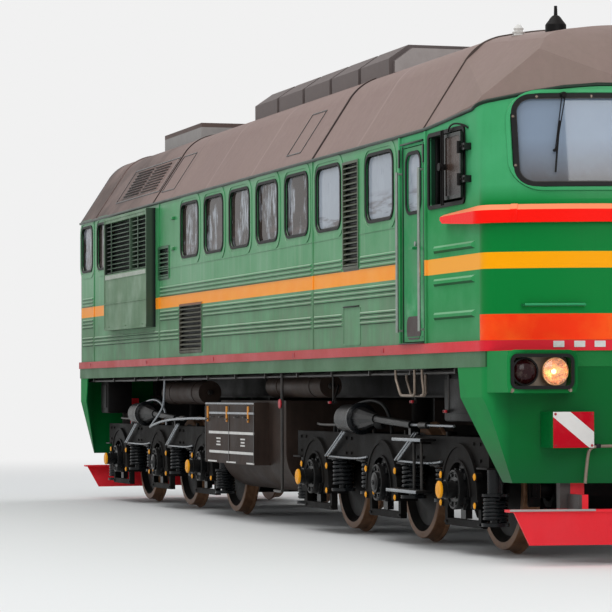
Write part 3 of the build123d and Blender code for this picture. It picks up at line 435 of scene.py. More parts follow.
# Flat black paint on the end wall: grey with dust, and streaked.
end_black = dusty("end_wall_black", "2b2c2e", "4b4a48", 0.5, 0.8, (0.4, 0.7), settle=0.2, streaky=0.2)


# %% Frame, tank and bogie paints
def sill_coat(tree):
    """Green on the outer faces of the sill, which hang below the red band, and on its front."""
    at_sill = ramp(tree, "Z", 1.5, 1.51)
    outer = both(tree, ramp(tree, "Y", 1.455, 1.462), at_sill)
    return [(outer, 1.0, "426c49"), (both(tree, outer, mottle(tree, 0.5, 0.4, 0.7)), 0.5, "4f5f4a"),
            (both(tree, ramp(tree, "X", 7.55, 7.6), at_sill), 1.0, "01702f")]


# Bitumen paint on rolled beams: deep black in the shade, brown where dust lies.
frame_black = dusty("frame_black", "0c0e10", "2a2522", 0.5, 0.5, (0.4, 0.8), settle=0.3, extra=sill_coat)
# Black paint on welded tank plates under oily dust: brown, with runs.
tank_brown = dusty("tank_dust", "2a211d", "43362f", 0.6, 0.4, (0.45, 0.75), mirror=0.1, settle=0.2,
                   streaky=0.5)
# Cast and welded bogie frames under brake dust: nearly black, faintly brown, and dry.
bogie_brown = dusty("bogie_brown", "0c0c0c", "2a2725", 0.6, 0.35, (0.4, 0.8), mirror=0.03, settle=0.2)
# Rolled plate in black paint, a little glossier than the castings.
bogie_black = dusty("bogie_black", "07090a", "241f1d", 0.5, 0.35, (0.35, 0.75), mirror=0.1, settle=0.35)
# Painted spring wire: smooth, so each coil keeps a line of sheen.
spring_black = dusty("spring_black", "090c0f", "2c2e30", 0.2, 0.15, (0.2, 0.4), settle=0.3)
# Oily cast steel of the axle boxes: black with a soft gloss.
casting = dusty("axle_box_casting", "07090b", "262321", 0.35, 0.2, (0.25, 0.55), settle=0.25)

# %% Bright enamels
# Red enamel of the band: chalked to pink along the sides, clean red round the nose.
band_red = dusty("band_enamel", "b81422", "b04a46", 0.75, 0.6, (0.3, 0.6), settle=0.05,
                 extra=lambda tree: [(ramp(tree, "X", 5.0, 7.3), 0.95, "de1a2c")])
# Orange-red enamel of the belt: fresh in front, faded to pale orange on its top face.
belt_orange = dusty("belt_enamel", "ff180e", "ffc48a", 0.0, 0.7, (0.3, 0.5), sooty=0.0, settle=0.0,
                    mirror=0.06, extra=lambda tree: [(tilt(tree, 0.45, 0.9), 0.75, "ffc48a")])
# Red enamel brushed on the rail guards; one side of each post was left grey.
plough_red = dusty("plough_enamel", "ee2632", "ea4048", 0.5, 0.4, (0.3, 0.55), sooty=0.03, settle=0.1,
                   extra=lambda tree: [(both(tree, band(tree, "Y", 0.834, 0.93), band(tree, "Z", 0.44, 1.4)),
                                        1.0, "4b4745")])
# Yellow enamel on pressed caps: it marks what a fitter has to check.
cap_yellow = dusty("cap_enamel", "f9a70f", "d08a1e", 0.3, 0.05, (0.35, 0.6), settle=0.05)
# Orange enamel on the battery latches, browned by hands.
strap_orange = dusty("strap_enamel", "e79a3c", "a8672a", 0.4, 0.05, (0.4, 0.6), settle=0.05)
# Red enamel on cocks, dulled by oil.
red_paint = dusty("red_fitting", "b52531", "6f2a2c", 0.4, 0.1, (0.35, 0.6), settle=0.1)
# White marking paint, yellowed by dust.
white_paint = dusty("white_marking", "dedcd8", "b9b5ae", 0.4, 0.1, (0.4, 0.6), settle=0.05)
# Pale grey enamel, matt with age.
pale_paint = dusty("pale_grey_enamel", "a8a19e", "8f8884", 0.4, 0.2, (0.5, 0.7), settle=0.1)
# Grey-green enamel brushed on the cab's inside.
cab_trim = dusty("cab_trim_enamel", "39423b", "2f332e", 0.3, 0.4, (0.4, 0.6), settle=0.1)

# %% Steels
# Rolled tyre steel, a little bright under a skin of light rust.
tread_steel = dusty("tread_steel", "6e4d36", "97755a", 0.6, 0.07, (0.35, 0.6), metallic=0.2, settle=0.0)
# Rolled wheel webs, black with oil and brake dust.
wheel_steel = dusty("wheel_steel", "0b0b0c", "251f1b", 0.5, 0.2, (0.4, 0.7), settle=0.1)
# Steel tube worn bright by hands; the rails of the nose are painted green.
rail_steel = dusty("grab_rail_steel", "9aa19b", "7b837a", 0.4, 0.1, (0.3, 0.5), metallic=0.6, settle=0.1,
                   extra=lambda tree: [(ramp(tree, "X", 7.2, 7.3), 1.0, "2c8a58")])
# Drawn black pipe: dark with a metallic sheen.
pipe_steel = dusty("pipe_steel", "2b2b2b", "56504a", 0.4, 0.15, (0.3, 0.5), metallic=0.4, settle=0.25)
# Drawn bar that is hardly painted: it catches the light as a thin bright line.
bright_rod = dusty("bright_rod_steel", "9aa0a6", "6d665e", 0.3, 0.1, (0.25, 0.45), metallic=0.7, settle=0.2)
# Bar whose paint has worn down to a tan primer.
tan_rod = dusty("worn_rod_steel", "8b7d70", "6a5d52", 0.5, 0.08, (0.35, 0.55), metallic=0.4, settle=0.1)
# Rolled kick plates, scuffed to brown.
kick_brown = dusty("kick_plate", "3f3533", "57494a", 0.5, 0.1, (0.4, 0.7), settle=0.1)


# %% Rubbers and the deflector's smoky pane
def deflector_coat(tree):
    """The smoky pane inside each deflector's frame, darker towards its foot."""
    pane = window(tree, 6.815, 7.155, 3.005, 3.49)
    return [(pane, 1.0, "43352f"), (both(tree, pane, ramp(tree, "Z", 3.25, 3.05)), 0.85, "151312")]


# Extruded window rubber: matt black, greying.
rubber_black = dusty("window_rubber", "060708", "262522", 0.25, 0.1, (0.5, 0.75), settle=0.1)
# Rubberised cloth of the gangway's bellows: soft black under dust.
bellows_rubber = dusty("bellows_cloth", "1c1c1d", "38352f", 0.5, 0.2, (0.6, 0.85), settle=0.2)
# Green-black enamel of the deflectors' frames.
deflector_paint = dusty("deflector_enamel", "0f1512", "202a24", 0.4, 0.1, (0.2, 0.45), settle=0.05,
                        extra=deflector_coat)

# %% [markdown]
# ## Hazard board
# Railway hazard boards are red enamelled plates with one broad white diagonal. Two plates could be cut to
# shape, but the real one is painted, so this one is too. The edge of the diagonal is a line in the board's
# plane, so height minus a share of the distance from the centre line tells the two colours apart.

# %% Hazard board finish
DIAGONAL_SLOPE = 0.8
DIAGONAL_RANGE = (0.305, 0.462)
SHARP = 0.001

# Enamel fired on a steel plate: two hard, even colours with a low sheen under grime.
hazard_enamel, tree, shader = new_material("hazard_board_enamel")
spot = node(tree, "SeparateXYZ", {"Vector": node(tree, "TexCoord").outputs["Object"]})
aside = node(tree, "Math", {0: spot.outputs["Y"]}, operation="ABSOLUTE")
fallen = node(tree, "Math", {0: aside, 1: DIAGONAL_SLOPE}, operation="MULTIPLY")
line = node(tree, "Math", {0: spot.outputs["Z"], 1: fallen}, operation="SUBTRACT")
low, high = DIAGONAL_RANGE
above, below = [node(tree, "MapRange", {"Value": line, "From Min": start, "From Max": stop})
                for start, stop in ((low - SHARP, low + SHARP), (high + SHARP, high - SHARP))]
grime = mottle(tree, 0.12, 0.45, 0.8)
colour = coats(tree, linear("b8081e"), [(both(tree, above, below), 1.0, "dcd9d5"), (grime, 0.1, "8d7f7a")])
shader.inputs["Specular IOR Level"].default_value = 0.06
surface(tree, shader, colour, grime, (0.35, 0.6), [(mottle(tree, GRIT_SIZE), GRIT_DEPTH)])
print("diagonal", round(DIAGONAL_RANGE[1] - DIAGONAL_RANGE[0], 3), "m high")

# %% [markdown]
# ## Glass
# Side windows of an old engine carry a film of dust and dried rain on toughened glass. A clear pane would
# look black, so the pane is part glass and part film. The film of the engine room windows is brown and
# breaks into pale patches, which are a painted reflection of the sky, streaked like rain runs; the corridor
# and cab door windows are evenly pale. The windscreens are cleaner; their bluish colour is a painted
# reflection of the sky, and they are darker towards the bottom as a painted dark reflection.


# %% Glass
def glass(name, film, coverage, layers, rough=0.05, mirror=0.4, bend=1.5):
    """A pane with a film of dust over it, laid in coats."""
    made, tree, shader = new_material(name)
    colour = coats(tree, linear(film), layers(tree))
    bare = 1 - coverage
    clear = node(tree, "MapRange", {"Value": mottle(tree, 0.2), "To Min": bare, "To Max": 0.8 * bare})
    tree.links.new(enabled(colour.outputs), shader.inputs["Base Color"])
    tree.links.new(clear.outputs[0], shader.inputs["Transmission Weight"])
    for socket, value in (("Roughness", rough), ("Specular IOR Level", mirror), ("IOR", bend)):
        shader.inputs[socket].default_value = value
    print(name, "is covered", coverage)
    return made


# %% Films and panes
def window_film_and_reflection(tree):
    """Brown film, broken by pale patches of painted sky reflection, streaked like rain runs; evenly pale from
    the last engine room window forward.
    """
    forward = ramp(tree, "X", 2.75, 2.85)
    # Painted reflection: pale patches of sky over the brown film, streaked like rain runs.
    runs = both(tree, mottle(tree, 0.32, 0.49, 0.56, stretch=(1, 1, 1.7)),
                mottle(tree, 0.02, 0.4, 0.6, stretch=(1, 1, 9)))
    drops = both(tree, mottle(tree, 0.05, 0.6, 0.7, stretch=(1, 1, 3)), forward)
    foot = both(tree, mottle(tree, 0.35, 0.5, 0.6, stretch=(3, 1, 0.35)), ramp(tree, "Z", 3.2, 3.05))
    return [(runs, 0.95, "b4bbc4"), (forward, 0.93, "a9b1bb"), (drops, 0.4, "6f7780"), (foot, 0.8, "5a4b48")]


def screen_film_and_reflection(tree):
    """A bluish painted reflection of the sky, and a dark brown painted reflection below."""
    # Painted reflection: dark brown towards the bottom, and bluish patches of sky.
    return [(ramp(tree, "Z", 3.42, 3.1), 0.75, "55493f"), (mottle(tree, 0.5, 0.45, 0.7), 0.35, "8494a4")]


def lens_film(tree):
    """Hardly any film on a lamp glass."""
    return [(mottle(tree, 0.05, 0.5, 0.8), 0.15, "d8cdb8")]


# Toughened glass that dust has made nearly opaque; the film bends light less than bare glass does.
side_glass = glass("dusty_window_glass", "3a302c", 0.9, window_film_and_reflection, mirror=0.3, bend=1.25)
# Laminated glass, wiped now and then; its bluish film colour is a painted reflection of the sky.
screen_glass = glass("windscreen_glass", "8292a6", 0.85, screen_film_and_reflection)
# Pressed clear lens, and pressed red glass that looks black while its lamp is off.
lens_glass = glass("lamp_glass", "f6efe4", 0.0, lens_film, mirror=0.15)
red_glass = glass("red_lamp_glass", "2a070c", 0.8, lens_film, rough=0.15, mirror=0.15)

# %% [markdown]
# ## Lamps
# The lit headlamp has a hot tungsten filament in front of a silvered steel bowl. A lamp in Blender could
# light the bowl, but its beam would also reach the floor. So the filament glows by itself, and the tarnished
# silver glows a little, as a mirror full of its light does.

# %% Filament and reflector
LAMP_WARMTH = "ffc27a"
# Tungsten wire at white heat: an even, warm glow without any texture.
bulb_glow, tree, shader = new_material("lit_filament")
for socket in ("Base Color", "Emission Color"):
    shader.inputs[socket].default_value = linear(LAMP_WARMTH)
shader.inputs["Emission Strength"].default_value = 10.0

# Silvered steel, tarnished brown in small patches: a dull, warm mirror.
reflector_silver, tree, shader = new_material("silvered_reflector")
tarnish = mottle(tree, 0.045, 0.4, 0.6)
warm = coats(tree, linear("e0a878"), [(tarnish, 0.8, "7a4c2c")])
surface(tree, shader, warm, tarnish, (0.15, 0.35), [(mottle(tree, 0.03), 0.002)])
tree.links.new(enabled(warm.outputs), shader.inputs["Emission Color"])
shader.inputs["Emission Strength"].default_value = 0.28
shader.inputs["Metallic"].default_value = 0.6
print("lamp colour", LAMP_WARMTH)

# %% [markdown]
# ## Finishes on the CAD nodes
# A CAD node whose shape is right keeps its mesh and only gets a finish, so one table says which finish goes
# on which nodes.

# %% Finishes for the CAD nodes
finish_table = [
    (side_enamel, "side_wall_right side_wall_left"), (nose_enamel, "cab_walls"),
    (door_enamel, "cab_door_right cab_door_left"), (skirt_enamel, "skirt_front skirt_rear"),
    (shutter_enamel, "radiator_shutters"), (band_red, "sole_band"), (belt_orange, "cab_belt"),
    (roof_paint, "roof_cab roof_front roof_middle roof_rear headlight"),
    (roof_steel, "roof_hatches roof_gear"),
    (duct_steel, "fan_housing"), (end_black, "rear_wall rear_door"), (bellows_rubber, "gangway"),
    (frame_black, "underframe fan_rotor engine lamps"), (tank_brown, "fuel_tank air_reservoirs"),
    (side_glass, "side_windows"), (screen_glass, "windscreens"), (plough_red, "plough_front plough_rear"),
    (cab_trim, "cab_bulkhead cab_desk"), (rubber_black, "cab_seats"), (rail_steel, "handrails"),
    (deflector_paint, "wind_deflectors"), (bogie_brown, "bogie_frame_front bogie_frame_rear"),
    (casting, "coupler_front coupler_rear axle_boxes_front axle_boxes_rear brake_gear_front brake_gear_rear"),
    (spring_black, "springs_front springs_rear"), (bogie_black, "motors_front motors_rear"),
    (wheel_steel, "wheelset_1 wheelset_2 wheelset_3 wheelset_4 wheelset_5 wheelset_6"),
]
finished = []
for finish, names in finish_table:
    for name in names.split():
        nodes[name].data.materials.clear()
        nodes[name].data.materials.append(finish)
        finished.append(name)
print(len(finished), "of", len(nodes), "nodes have a finish")

# %% [markdown]
# ## Helpers for new pieces
# Every new piece starts as a bmesh made by operators: boxes, bars, tubes, turned parts and panels with round
# corners. Vertex lists would give the same mesh, but nobody could see from them how the piece was meant. A
# frame of reference, with Z out of a surface and Y up along it, lets one panel lie on a wall, the nose or
# the roof.

# %% From a bmesh to a piece
CRISP_ANGLE = 30.0


def finish_piece(name, bm, body, materials, replaces=(), smooth=CRISP_ANGLE, mirrored=True):
    """Turn a bmesh into a piece on a body, with its mirror image on the other side unless told otherwise."""
    if mirrored:
        bmesh.ops.mirror(bm, geom=bm.verts[:] + bm.edges[:] + bm.faces[:], axis="Y", merge_dist=0.00001)
    bmesh.ops.recalc_face_normals(bm, faces=bm.faces)
    mesh = as_mesh(bm, name)
    for finish in materials:
        mesh.materials.append(finish)
    mesh.shade_smooth()
    mesh.set_sharp_from_angle(angle=math.radians(smooth))
    piece = bpy.data.objects.new(name, mesh)
    bpy.context.scene.collection.objects.link(piece)
    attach(piece, body)
    if replaces:
        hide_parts(*replaces)
    print(name, len(mesh.polygons), "faces on", body)
    return piece


def as_mesh(bm, name="shape"):
    """The bmesh as a mesh; the bmesh is used up."""
    mesh = bpy.data.meshes.new(name)
    bm.to_mesh(mesh)
    bm.free()
    return mesh


def put(bm, shape, place=None, index=0):
    """Add a mesh to a bmesh at a place; the mesh is used up."""
    if place is not None:
        shape.transform(place)
    shape.polygons.foreach_set("material_index", [index] * len(shape.polygons))
    bm.from_mesh(shape)
    bpy.data.meshes.remove(shape)


print("edges over", CRISP_ANGLE, "degrees stay crisp")

# %% Frames of reference
WALL_OUT, NOSE_OUT = (0, -1, 0), (1, 0, 0)


def facing(origin, outward):
    """A frame of reference at a point, with Z outward and Y up along the surface."""
    out = Vector(outward).normalized()
    across = Vector((0, 0, 1)).cross(out).normalized()
    return Matrix.Translation(origin) @ Matrix((across, out.cross(across), out)).transposed().to_4x4()


def on_wall(x, y, z):
    """A frame of reference on the right side."""
    return facing((x, y, z), WALL_OUT)


def lying(x, y, z):
    """A frame of reference whose Z runs forward, for what is turned along the engine."""
    return Matrix.Translation((x, y, z)) @ Matrix.Rotation(math.pi / 2, 4, "Y")


print("up along the right wall is", tuple(on_wall(0, 0, 0).col[1].xyz))

# %% Boxes and bars
BEVEL_SEGMENTS = 2


def paint_new(made, index):
    """Give the faces round newly made vertices a material number."""
    for face in {f for v in made["verts"] for f in v.link_faces}:
        face.material_index = index


def add_box(bm, low, high, bevel=0.0, index=0, place=None):
    """Add a box between two corners, with rounded edges where bevel is given."""
    size = [abs(b - a) for a, b in zip(low, high)]
    middle = Matrix.Translation([(a + b) / 2 for a, b in zip(low, high)])
    placed = (place or Matrix()) @ middle @ Matrix.Diagonal((*size, 1))
    made = bmesh.ops.create_cube(bm, size=1.0, matrix=placed)
    paint_new(made, index)
    if bevel:
        edges = list({e for v in made["verts"] for e in v.link_edges})
        bmesh.ops.bevel(bm, geom=edges, offset=bevel, segments=BEVEL_SEGMENTS, profile=0.5, affect="EDGES",
                        material=-1)


def add_bar(bm, start, end, radius, segments=16, index=0, far_radius=None):
    """Add a round bar or cone between two points."""
    start, end = Vector(start), Vector(end)
    run = end - start
    turned = Matrix.Translation((start + end) / 2) @ run.to_track_quat("Z", "Y").to_matrix().to_4x4()
    far = radius if far_radius is None else far_radius
    made = bmesh.ops.create_cone(bm, cap_ends=True, segments=segments, radius1=radius, radius2=far,
                                 depth=run.length, matrix=turned)
    paint_new(made, index)


print("bevels have", BEVEL_SEGMENTS, "segments")


# %% Tubes
def add_tube(bm, points, radius, index=0, order=3, resolution=6):
    """Sweep a round tube along a smooth line near a few points; order 2 keeps straight runs."""
    curve = bpy.data.curves.new("swept_tube", "CURVE")
    curve.dimensions = "3D"
    curve.bevel_depth = radius
    curve.bevel_resolution = TUBE_ROUNDNESS
    curve.use_fill_caps = True
    curve.resolution_u = resolution
    spline = curve.splines.new("NURBS")
    spline.points.add(len(points) - 1)
    for knot, point in zip(spline.points, points):
        knot.co = (*point, 1)
    spline.order_u = order
    spline.use_endpoint_u = True
    holder = bpy.data.objects.new("swept_tube", curve)
    mesh = bpy.data.meshes.new_from_object(holder)
    tube = bmesh.new()
    tube.from_mesh(mesh)
    bmesh.ops.remove_doubles(tube, verts=tube.verts, dist=0.00005)
    put(bm, as_mesh(tube), index=index)
    bpy.data.objects.remove(holder)
    bpy.data.curves.remove(curve)
    bpy.data.meshes.remove(mesh)


TUBE_ROUNDNESS = 3
bm = bmesh.new()
add_tube(bm, [(0, 0, 0), (0.5, 0.1, 0), (1, 0, 0)], 0.01)
print("a tube with one bend has", len(bm.faces), "faces")
bm.free()

# %% Turned parts
LATHE_WELD = 0.0002


def add_turned(bm, section, place, steps=32, index=0):
    """Turn a section of (radius, height) points about a place's Z axis; one off the axis is closed."""
    lathe = bmesh.new()
    if section[0][0] or section[-1][0]:
        section = section + section[:1]
    verts = [lathe.verts.new((r, 0, h)) for r, h in section]
    edges = [lathe.edges.new(pair) for pair in zip(verts, verts[1:])]
    bmesh.ops.spin(lathe, geom=verts + edges, cent=(0, 0, 0), axis=(0, 0, 1), angle=math.tau, steps=steps,
                   use_merge=True)
    bmesh.ops.remove_doubles(lathe, verts=lathe.verts, dist=LATHE_WELD)
    put(bm, as_mesh(lathe), place, index)


print("turned points closer than", LATHE_WELD, "m are joined")


# %% Panels
def raised_by(bm, faces, way):
    """Extrude faces some way."""
    grown = bmesh.ops.extrude_face_region(bm, geom=faces)
    raised = [g for g in grown["geom"] if isinstance(g, bmesh.types.BMVert)]
    bmesh.ops.translate(bm, verts=raised, vec=way)


def panel_shape(width, height, depth, corner=0.0, ring=0.0, cuts=0, steps=5):
    """A flat panel with round corners, or only its rim; cuts let it follow a curved wall."""
    bm = bmesh.new()
    made = bmesh.ops.create_grid(bm, x_segments=1, y_segments=1, size=0.5,
                                 matrix=Matrix.Diagonal((width, height, 1, 1)))
    if corner:
        bmesh.ops.bevel(bm, geom=made["verts"], offset=corner, segments=steps, profile=0.5, affect="VERTICES",
                        material=-1)
    bm.faces.ensure_lookup_table()
    if ring:
        rim = bmesh.ops.inset_individual(bm, faces=[bm.faces[0]], thickness=ring)["faces"]
        bmesh.ops.delete(bm, geom=[f for f in bm.faces if f not in rim], context="FACES_ONLY")
    if cuts:
        along_wall = [e for e in bm.edges if abs(e.verts[0].co.x - e.verts[1].co.x) > width / 3]
        bmesh.ops.subdivide_edges(bm, edges=along_wall, cuts=cuts, use_grid_fill=True)
    raised_by(bm, bm.faces[:], (0, 0, depth))
    return as_mesh(bm)


def add_panel(bm, place, *size, index=0, **shape):
    """Add a round-cornered panel or rim that lies on a surface."""
    put(bm, panel_shape(*size, **shape), place, index)


bm = bmesh.new()
add_panel(bm, Matrix(), 1.0, 1.0, 0.1, corner=0.2)
print("a panel with round corners has", len(bm.faces), "faces")
bm.free()

# %% Bolts
bm = bmesh.new()
for sides, foot, top, depth, middle in ((12, 1.35, 1.35, 0.25, 0.12), (6, 1, 0.94, 0.8, 0.6)):
    bmesh.ops.create_cone(bm, cap_ends=True, segments=sides, radius1=foot, radius2=top, depth=depth,
                          matrix=Matrix.Translation((0, 0, middle)))
BOLT = as_mesh(bm, "hexagon_bolt")


def add_bolts(bm, place, spots, radius, index=0):
    """Add hexagon bolts on their washers at (x, y) spots on a surface."""
    for x, y in spots:
        put(bm, BOLT.copy(), place @ Matrix.Translation((x, y, 0)) @ Matrix.Scale(radius, 4), index)


def round_spots(count, radius, start=0.0):
    """Spots evenly round a circle."""
    angles = [start + math.tau * i / count for i in range(count)]
    return [(radius * math.cos(a), radius * math.sin(a)) for a in angles]


print("a bolt has", len(BOLT.polygons), "faces")

# %% [markdown]
# ## The shape of the nose
# Seen from above, the nose is a flat arc that is rounded into the sides, and above the belt it leans back.
# Parts that lie on it, such as the window rubbers, are made flat and then pushed forward to its surface.
# That keeps their width as a fitter would measure it, and needs no projecting of one mesh on another.

# %% Nose surface
HALF_WIDTH = 1.475
NOSE_X, NOSE_RADIUS = 8.06, 2.5
SCREEN_LEAN, LEAN_START, BROW_Z = 0.13, 2.926, 3.86
CORNER_CENTRE, CORNER_RADIUS = Vector((7.4849, 1.295)), 0.18
BROW_LINE = [(-9.0, 3.624), (6.1, 3.624), (7.33, 3.687), (7.59, 3.762), (7.82, 3.86), (9.0, 3.86)]


def lean_at(z):
    """How far the nose leans back at a height."""
    return SCREEN_LEAN * max(0.0, z - LEAN_START) / (BROW_Z - LEAN_START)


def nose_x(y, z):
    """How far forward the front of the nose reaches at one height and distance from the centre line."""
    return NOSE_X - NOSE_RADIUS + math.sqrt(NOSE_RADIUS ** 2 - y * y) - lean_at(z)


def bend_to_nose(shape):
    """Push a flat mesh, made in the plane x = 0, out to the front of the nose."""
    for vert in shape.vertices:
        vert.co.x += nose_x(vert.co.y, vert.co.z)


def on_nose(y, z, proud=0.0):
    """A frame of reference that lies on the front of the nose."""
    out = Vector((nose_x(y, z) - NOSE_X + NOSE_RADIUS, y, 0)).normalized()
    return facing(Vector((nose_x(y, z), y, z)) + out * proud, out)


print("the nose is at", round(nose_x(0, LEAN_START), 3), "m, its brow at", round(nose_x(0, BROW_Z), 3), "m")

# %% [markdown]
# ## Window rubbers and surrounds
# Each pane is held in a black rubber section that laps over the edge of the steel. Outside it the sheet is
# pressed into a low rounded surround. A rim could be swept along a curve, but a flat one is simpler: a
# rectangle whose corners are bevelled, inset by the width of the rim, with the middle taken out and the rest
# extruded.

# %% Window rubbers on the sides
WINDOWS = ([(-1.955 + 1.059 * i, 0.78, 2.925, 3.525) for i in range(6)] + [(4.893, 0.78, 2.925, 3.525)]
           + [(x, 0.65, 2.975, 3.55) for x in (-7.33, -6.39)])
RUBBER, SURROUND = 0.028, 0.05
# Flat rims start 1 mm outside the wall, and solid strips are let 2 mm into it.
WALL_Y, ROOT_Y = -HALF_WIDTH + 0.001, -HALF_WIDTH + 0.002

bm = bmesh.new()
for x, width, low, high in WINDOWS:
    middle, tall = (low + high) / 2, high - low
    place = on_wall(x, WALL_Y, middle)
    add_panel(bm, place, width + 0.034, tall + 0.034, 0.011, corner=0.127, ring=RUBBER)
    add_panel(bm, place, width + 0.19, tall + 0.19, 0.007, corner=0.19, ring=SURROUND, index=1)
    add_panel(bm, on_wall(x, -HALF_WIDTH + 0.024, middle), width - 0.012, tall - 0.012, 0.012, corner=0.1,
              ring=0.014, index=2)
add_panel(bm, on_wall(4.067, WALL_Y, 1.995), 0.52, 0.36, 0.006, corner=0.02, ring=0.012, index=1)
add_box(bm, (3.83, -HALF_WIDTH - 0.016, 2.166), (4.3, ROOT_Y, 2.178), 0.003, 0)
for z in (3.395, 3.045):
    add_box(bm, (-2.75, -HALF_WIDTH - 0.03, z - 0.02), (-2.65, ROOT_Y, z + 0.02), 0.008, 1)
for x0, x1 in ((-3.36, 2.8), (2.86, 3.78), (4.32, 5.38)):
    add_box(bm, (x0, -HALF_WIDTH - 0.005, 2.826), (x1, ROOT_Y, 2.838), index=1)
finish_piece("side_window_rubbers", bm, "body", [rubber_black, side_enamel, deflector_paint])

# %% Windscreen rubbers, following the bent nose
SCREEN_Y, SCREEN_Z = -0.65, 3.405
# Width, height, rim, depth, corner and finish of the rubber, the pressed surround and the inner strip.
SCREEN_RIMS = ((1.215, 0.755, 0.034, 0.02, 0.15, 0), (1.295, 0.822, 0.028, 0.018, 0.25, 1),
               (1.15, 0.69, 0.01, 0.012, 0.12, 2))
bm = bmesh.new()
for width, high, ring, depth, corner, index in SCREEN_RIMS:
    rim = panel_shape(width, high, depth, corner=corner, ring=ring, cuts=14, steps=8)
    rim.transform(facing((0, SCREEN_Y, SCREEN_Z), NOSE_OUT))
    bend_to_nose(rim)
    put(bm, rim, index=index)
for y, z in ((-0.25, 3.757), (-0.65, 3.757), (-1.06, 3.757), (-1.237, 3.2), (-1.237, 3.6)):
    add_bolts(bm, on_nose(y, z, 0.016), [(0, 0)], 0.009, 3)
finish_piece("windscreen_rubbers", bm, "body", [rubber_black, nose_enamel, pipe_steel, tan_rod])

# %% [markdown]
# ## Wipers
# Each wiper hangs from a spindle over the glass. Two thin parallel arms keep the blade upright, and the
# blade is held at its middle by a small clip. Straight bars between points that stand off the glass are
# enough.


# %% Wipers
def on_glass(y, z, proud):
    """A point that stands off the windscreen."""
    return (nose_x(y, z) + proud, y, z)


bm = bmesh.new()
for top_y, foot_y in ((-0.876, -0.96), (-0.34, -0.42)):
    for step in (-0.012, 0.012):
        head, foot = on_glass(top_y + step, 3.745, 0.035), on_glass(foot_y + step * 0.3, 3.32, 0.05)
        add_bar(bm, head, foot, 0.0045, 8)
    add_bar(bm, on_glass(foot_y + 0.05, 3.56, 0.022), on_glass(foot_y - 0.002, 3.14, 0.022), 0.008, 8, 1)
    add_bar(bm, on_glass(foot_y, 3.318, 0.02), on_glass(foot_y, 3.318, 0.062), 0.014, 12)
    add_bar(bm, on_glass(top_y, 3.77, -0.01), on_glass(top_y, 3.77, 0.06), 0.022, 16)
finish_piece("windscreen_wipers", bm, "body", [bogie_black, rubber_black])

# %% [markdown]
# ## Gutter
# A half-round rain strip is welded along the joint of wall and roof. On the sides it runs level, climbs over
# the cab windows, and crosses over the windscreens. One tube follows the line, half sunk in the joint, so
# nobody has to cut it in half. Its plan points go round the nose.


# %% Gutter along the eaves
def brow_height(x):
    """The height of the joint between wall and roof, at a distance forward."""
    for (x0, z0), (x1, z1) in zip(BROW_LINE, BROW_LINE[1:]):
        if x <= x1:
            return z0 + (z1 - z0) * (x - x0) / (x1 - x0)


def eave_point(x, y):
    """A point of the joint over the nose: it leans back as it climbs."""
    z = BROW_Z
    for _ in range(4):
        lean = lean_at(z)
        z = brow_height(x - lean)
    return (x - lean, y, z - EAVE_DROP)


GUTTER, EAVE_DROP = 0.017, 0.004
line = [(x, -HALF_WIDTH, brow_height(x) - EAVE_DROP) for x in (-7.75, 5.4, 6.1, 7.33)]
for angle in (90, 78, 66, 55, 44, 34):
    turned = math.radians(angle)
    line.append(eave_point(CORNER_CENTRE.x + CORNER_RADIUS * math.cos(turned),
                           -CORNER_CENTRE.y - CORNER_RADIUS * math.sin(turned)))
for y in (1.3, 1.15, 0.95, 0.7, 0.45, 0.2, 0.0):
    line.append(eave_point(NOSE_X - NOSE_RADIUS + math.sqrt(NOSE_RADIUS ** 2 - y * y), -y))
line += [(x, -y, z) for x, y, z in reversed(line[:-1])]
bm = bmesh.new()
add_tube(bm, line, GUTTER, order=2, resolution=1)
finish_piece("rain_gutter", bm, "body", [gutter_green], mirrored=False)

# %% [markdown]
# ## Cab side windows, deflectors and doors
# The driver's window stands open: its pane is slid back out of sight, and only the steel frame shows, proud
# of the wall. The deflector in front of it has a long latch with a round knob. The cab doors get a rubber
# round their window, a pane, a drip strip, and a worn kick plate at the foot. Panels and bars do for all of
# it.

# %% Cab window frames and latches
bm = bmesh.new()
add_panel(bm, on_wall(6.7, WALL_Y, 3.25), 0.92, 0.65, 0.016, corner=0.05, ring=0.034)
add_box(bm, (6.27, -1.43, 2.96), (6.31, -1.4, 3.54), 0.006)
for x in (6.79, 6.83):
    add_bar(bm, (x, -1.555, 2.93), (x, -1.555, 3.555), 0.008, 10, 1)
add_bar(bm, (6.81, -1.53, 3.25), (6.81, -1.572, 3.25), 0.026, 16, 1)
add_bar(bm, (6.81, -1.57, 3.25), (6.81, -1.588, 3.25), 0.034, 20, 1)
for z in (3.12, 3.385):
    add_bar(bm, (7.19, -1.545, z - 0.05), (7.19, -1.545, z + 0.05), 0.017, 12, 1)
    add_bolts(bm, on_wall(7.26, -1.537, z), [(-0.03, 0), (0.02, 0)], 0.009, 1)
add_tube(bm, [(6.81, -1.5, 3.55), (6.95, -1.54, 3.6), (7.18, -1.5, 3.58), (7.24, -1.48, 3.54)], 0.008, 1)
finish_piece("cab_window_frames", bm, "body", [rubber_black, bogie_black])

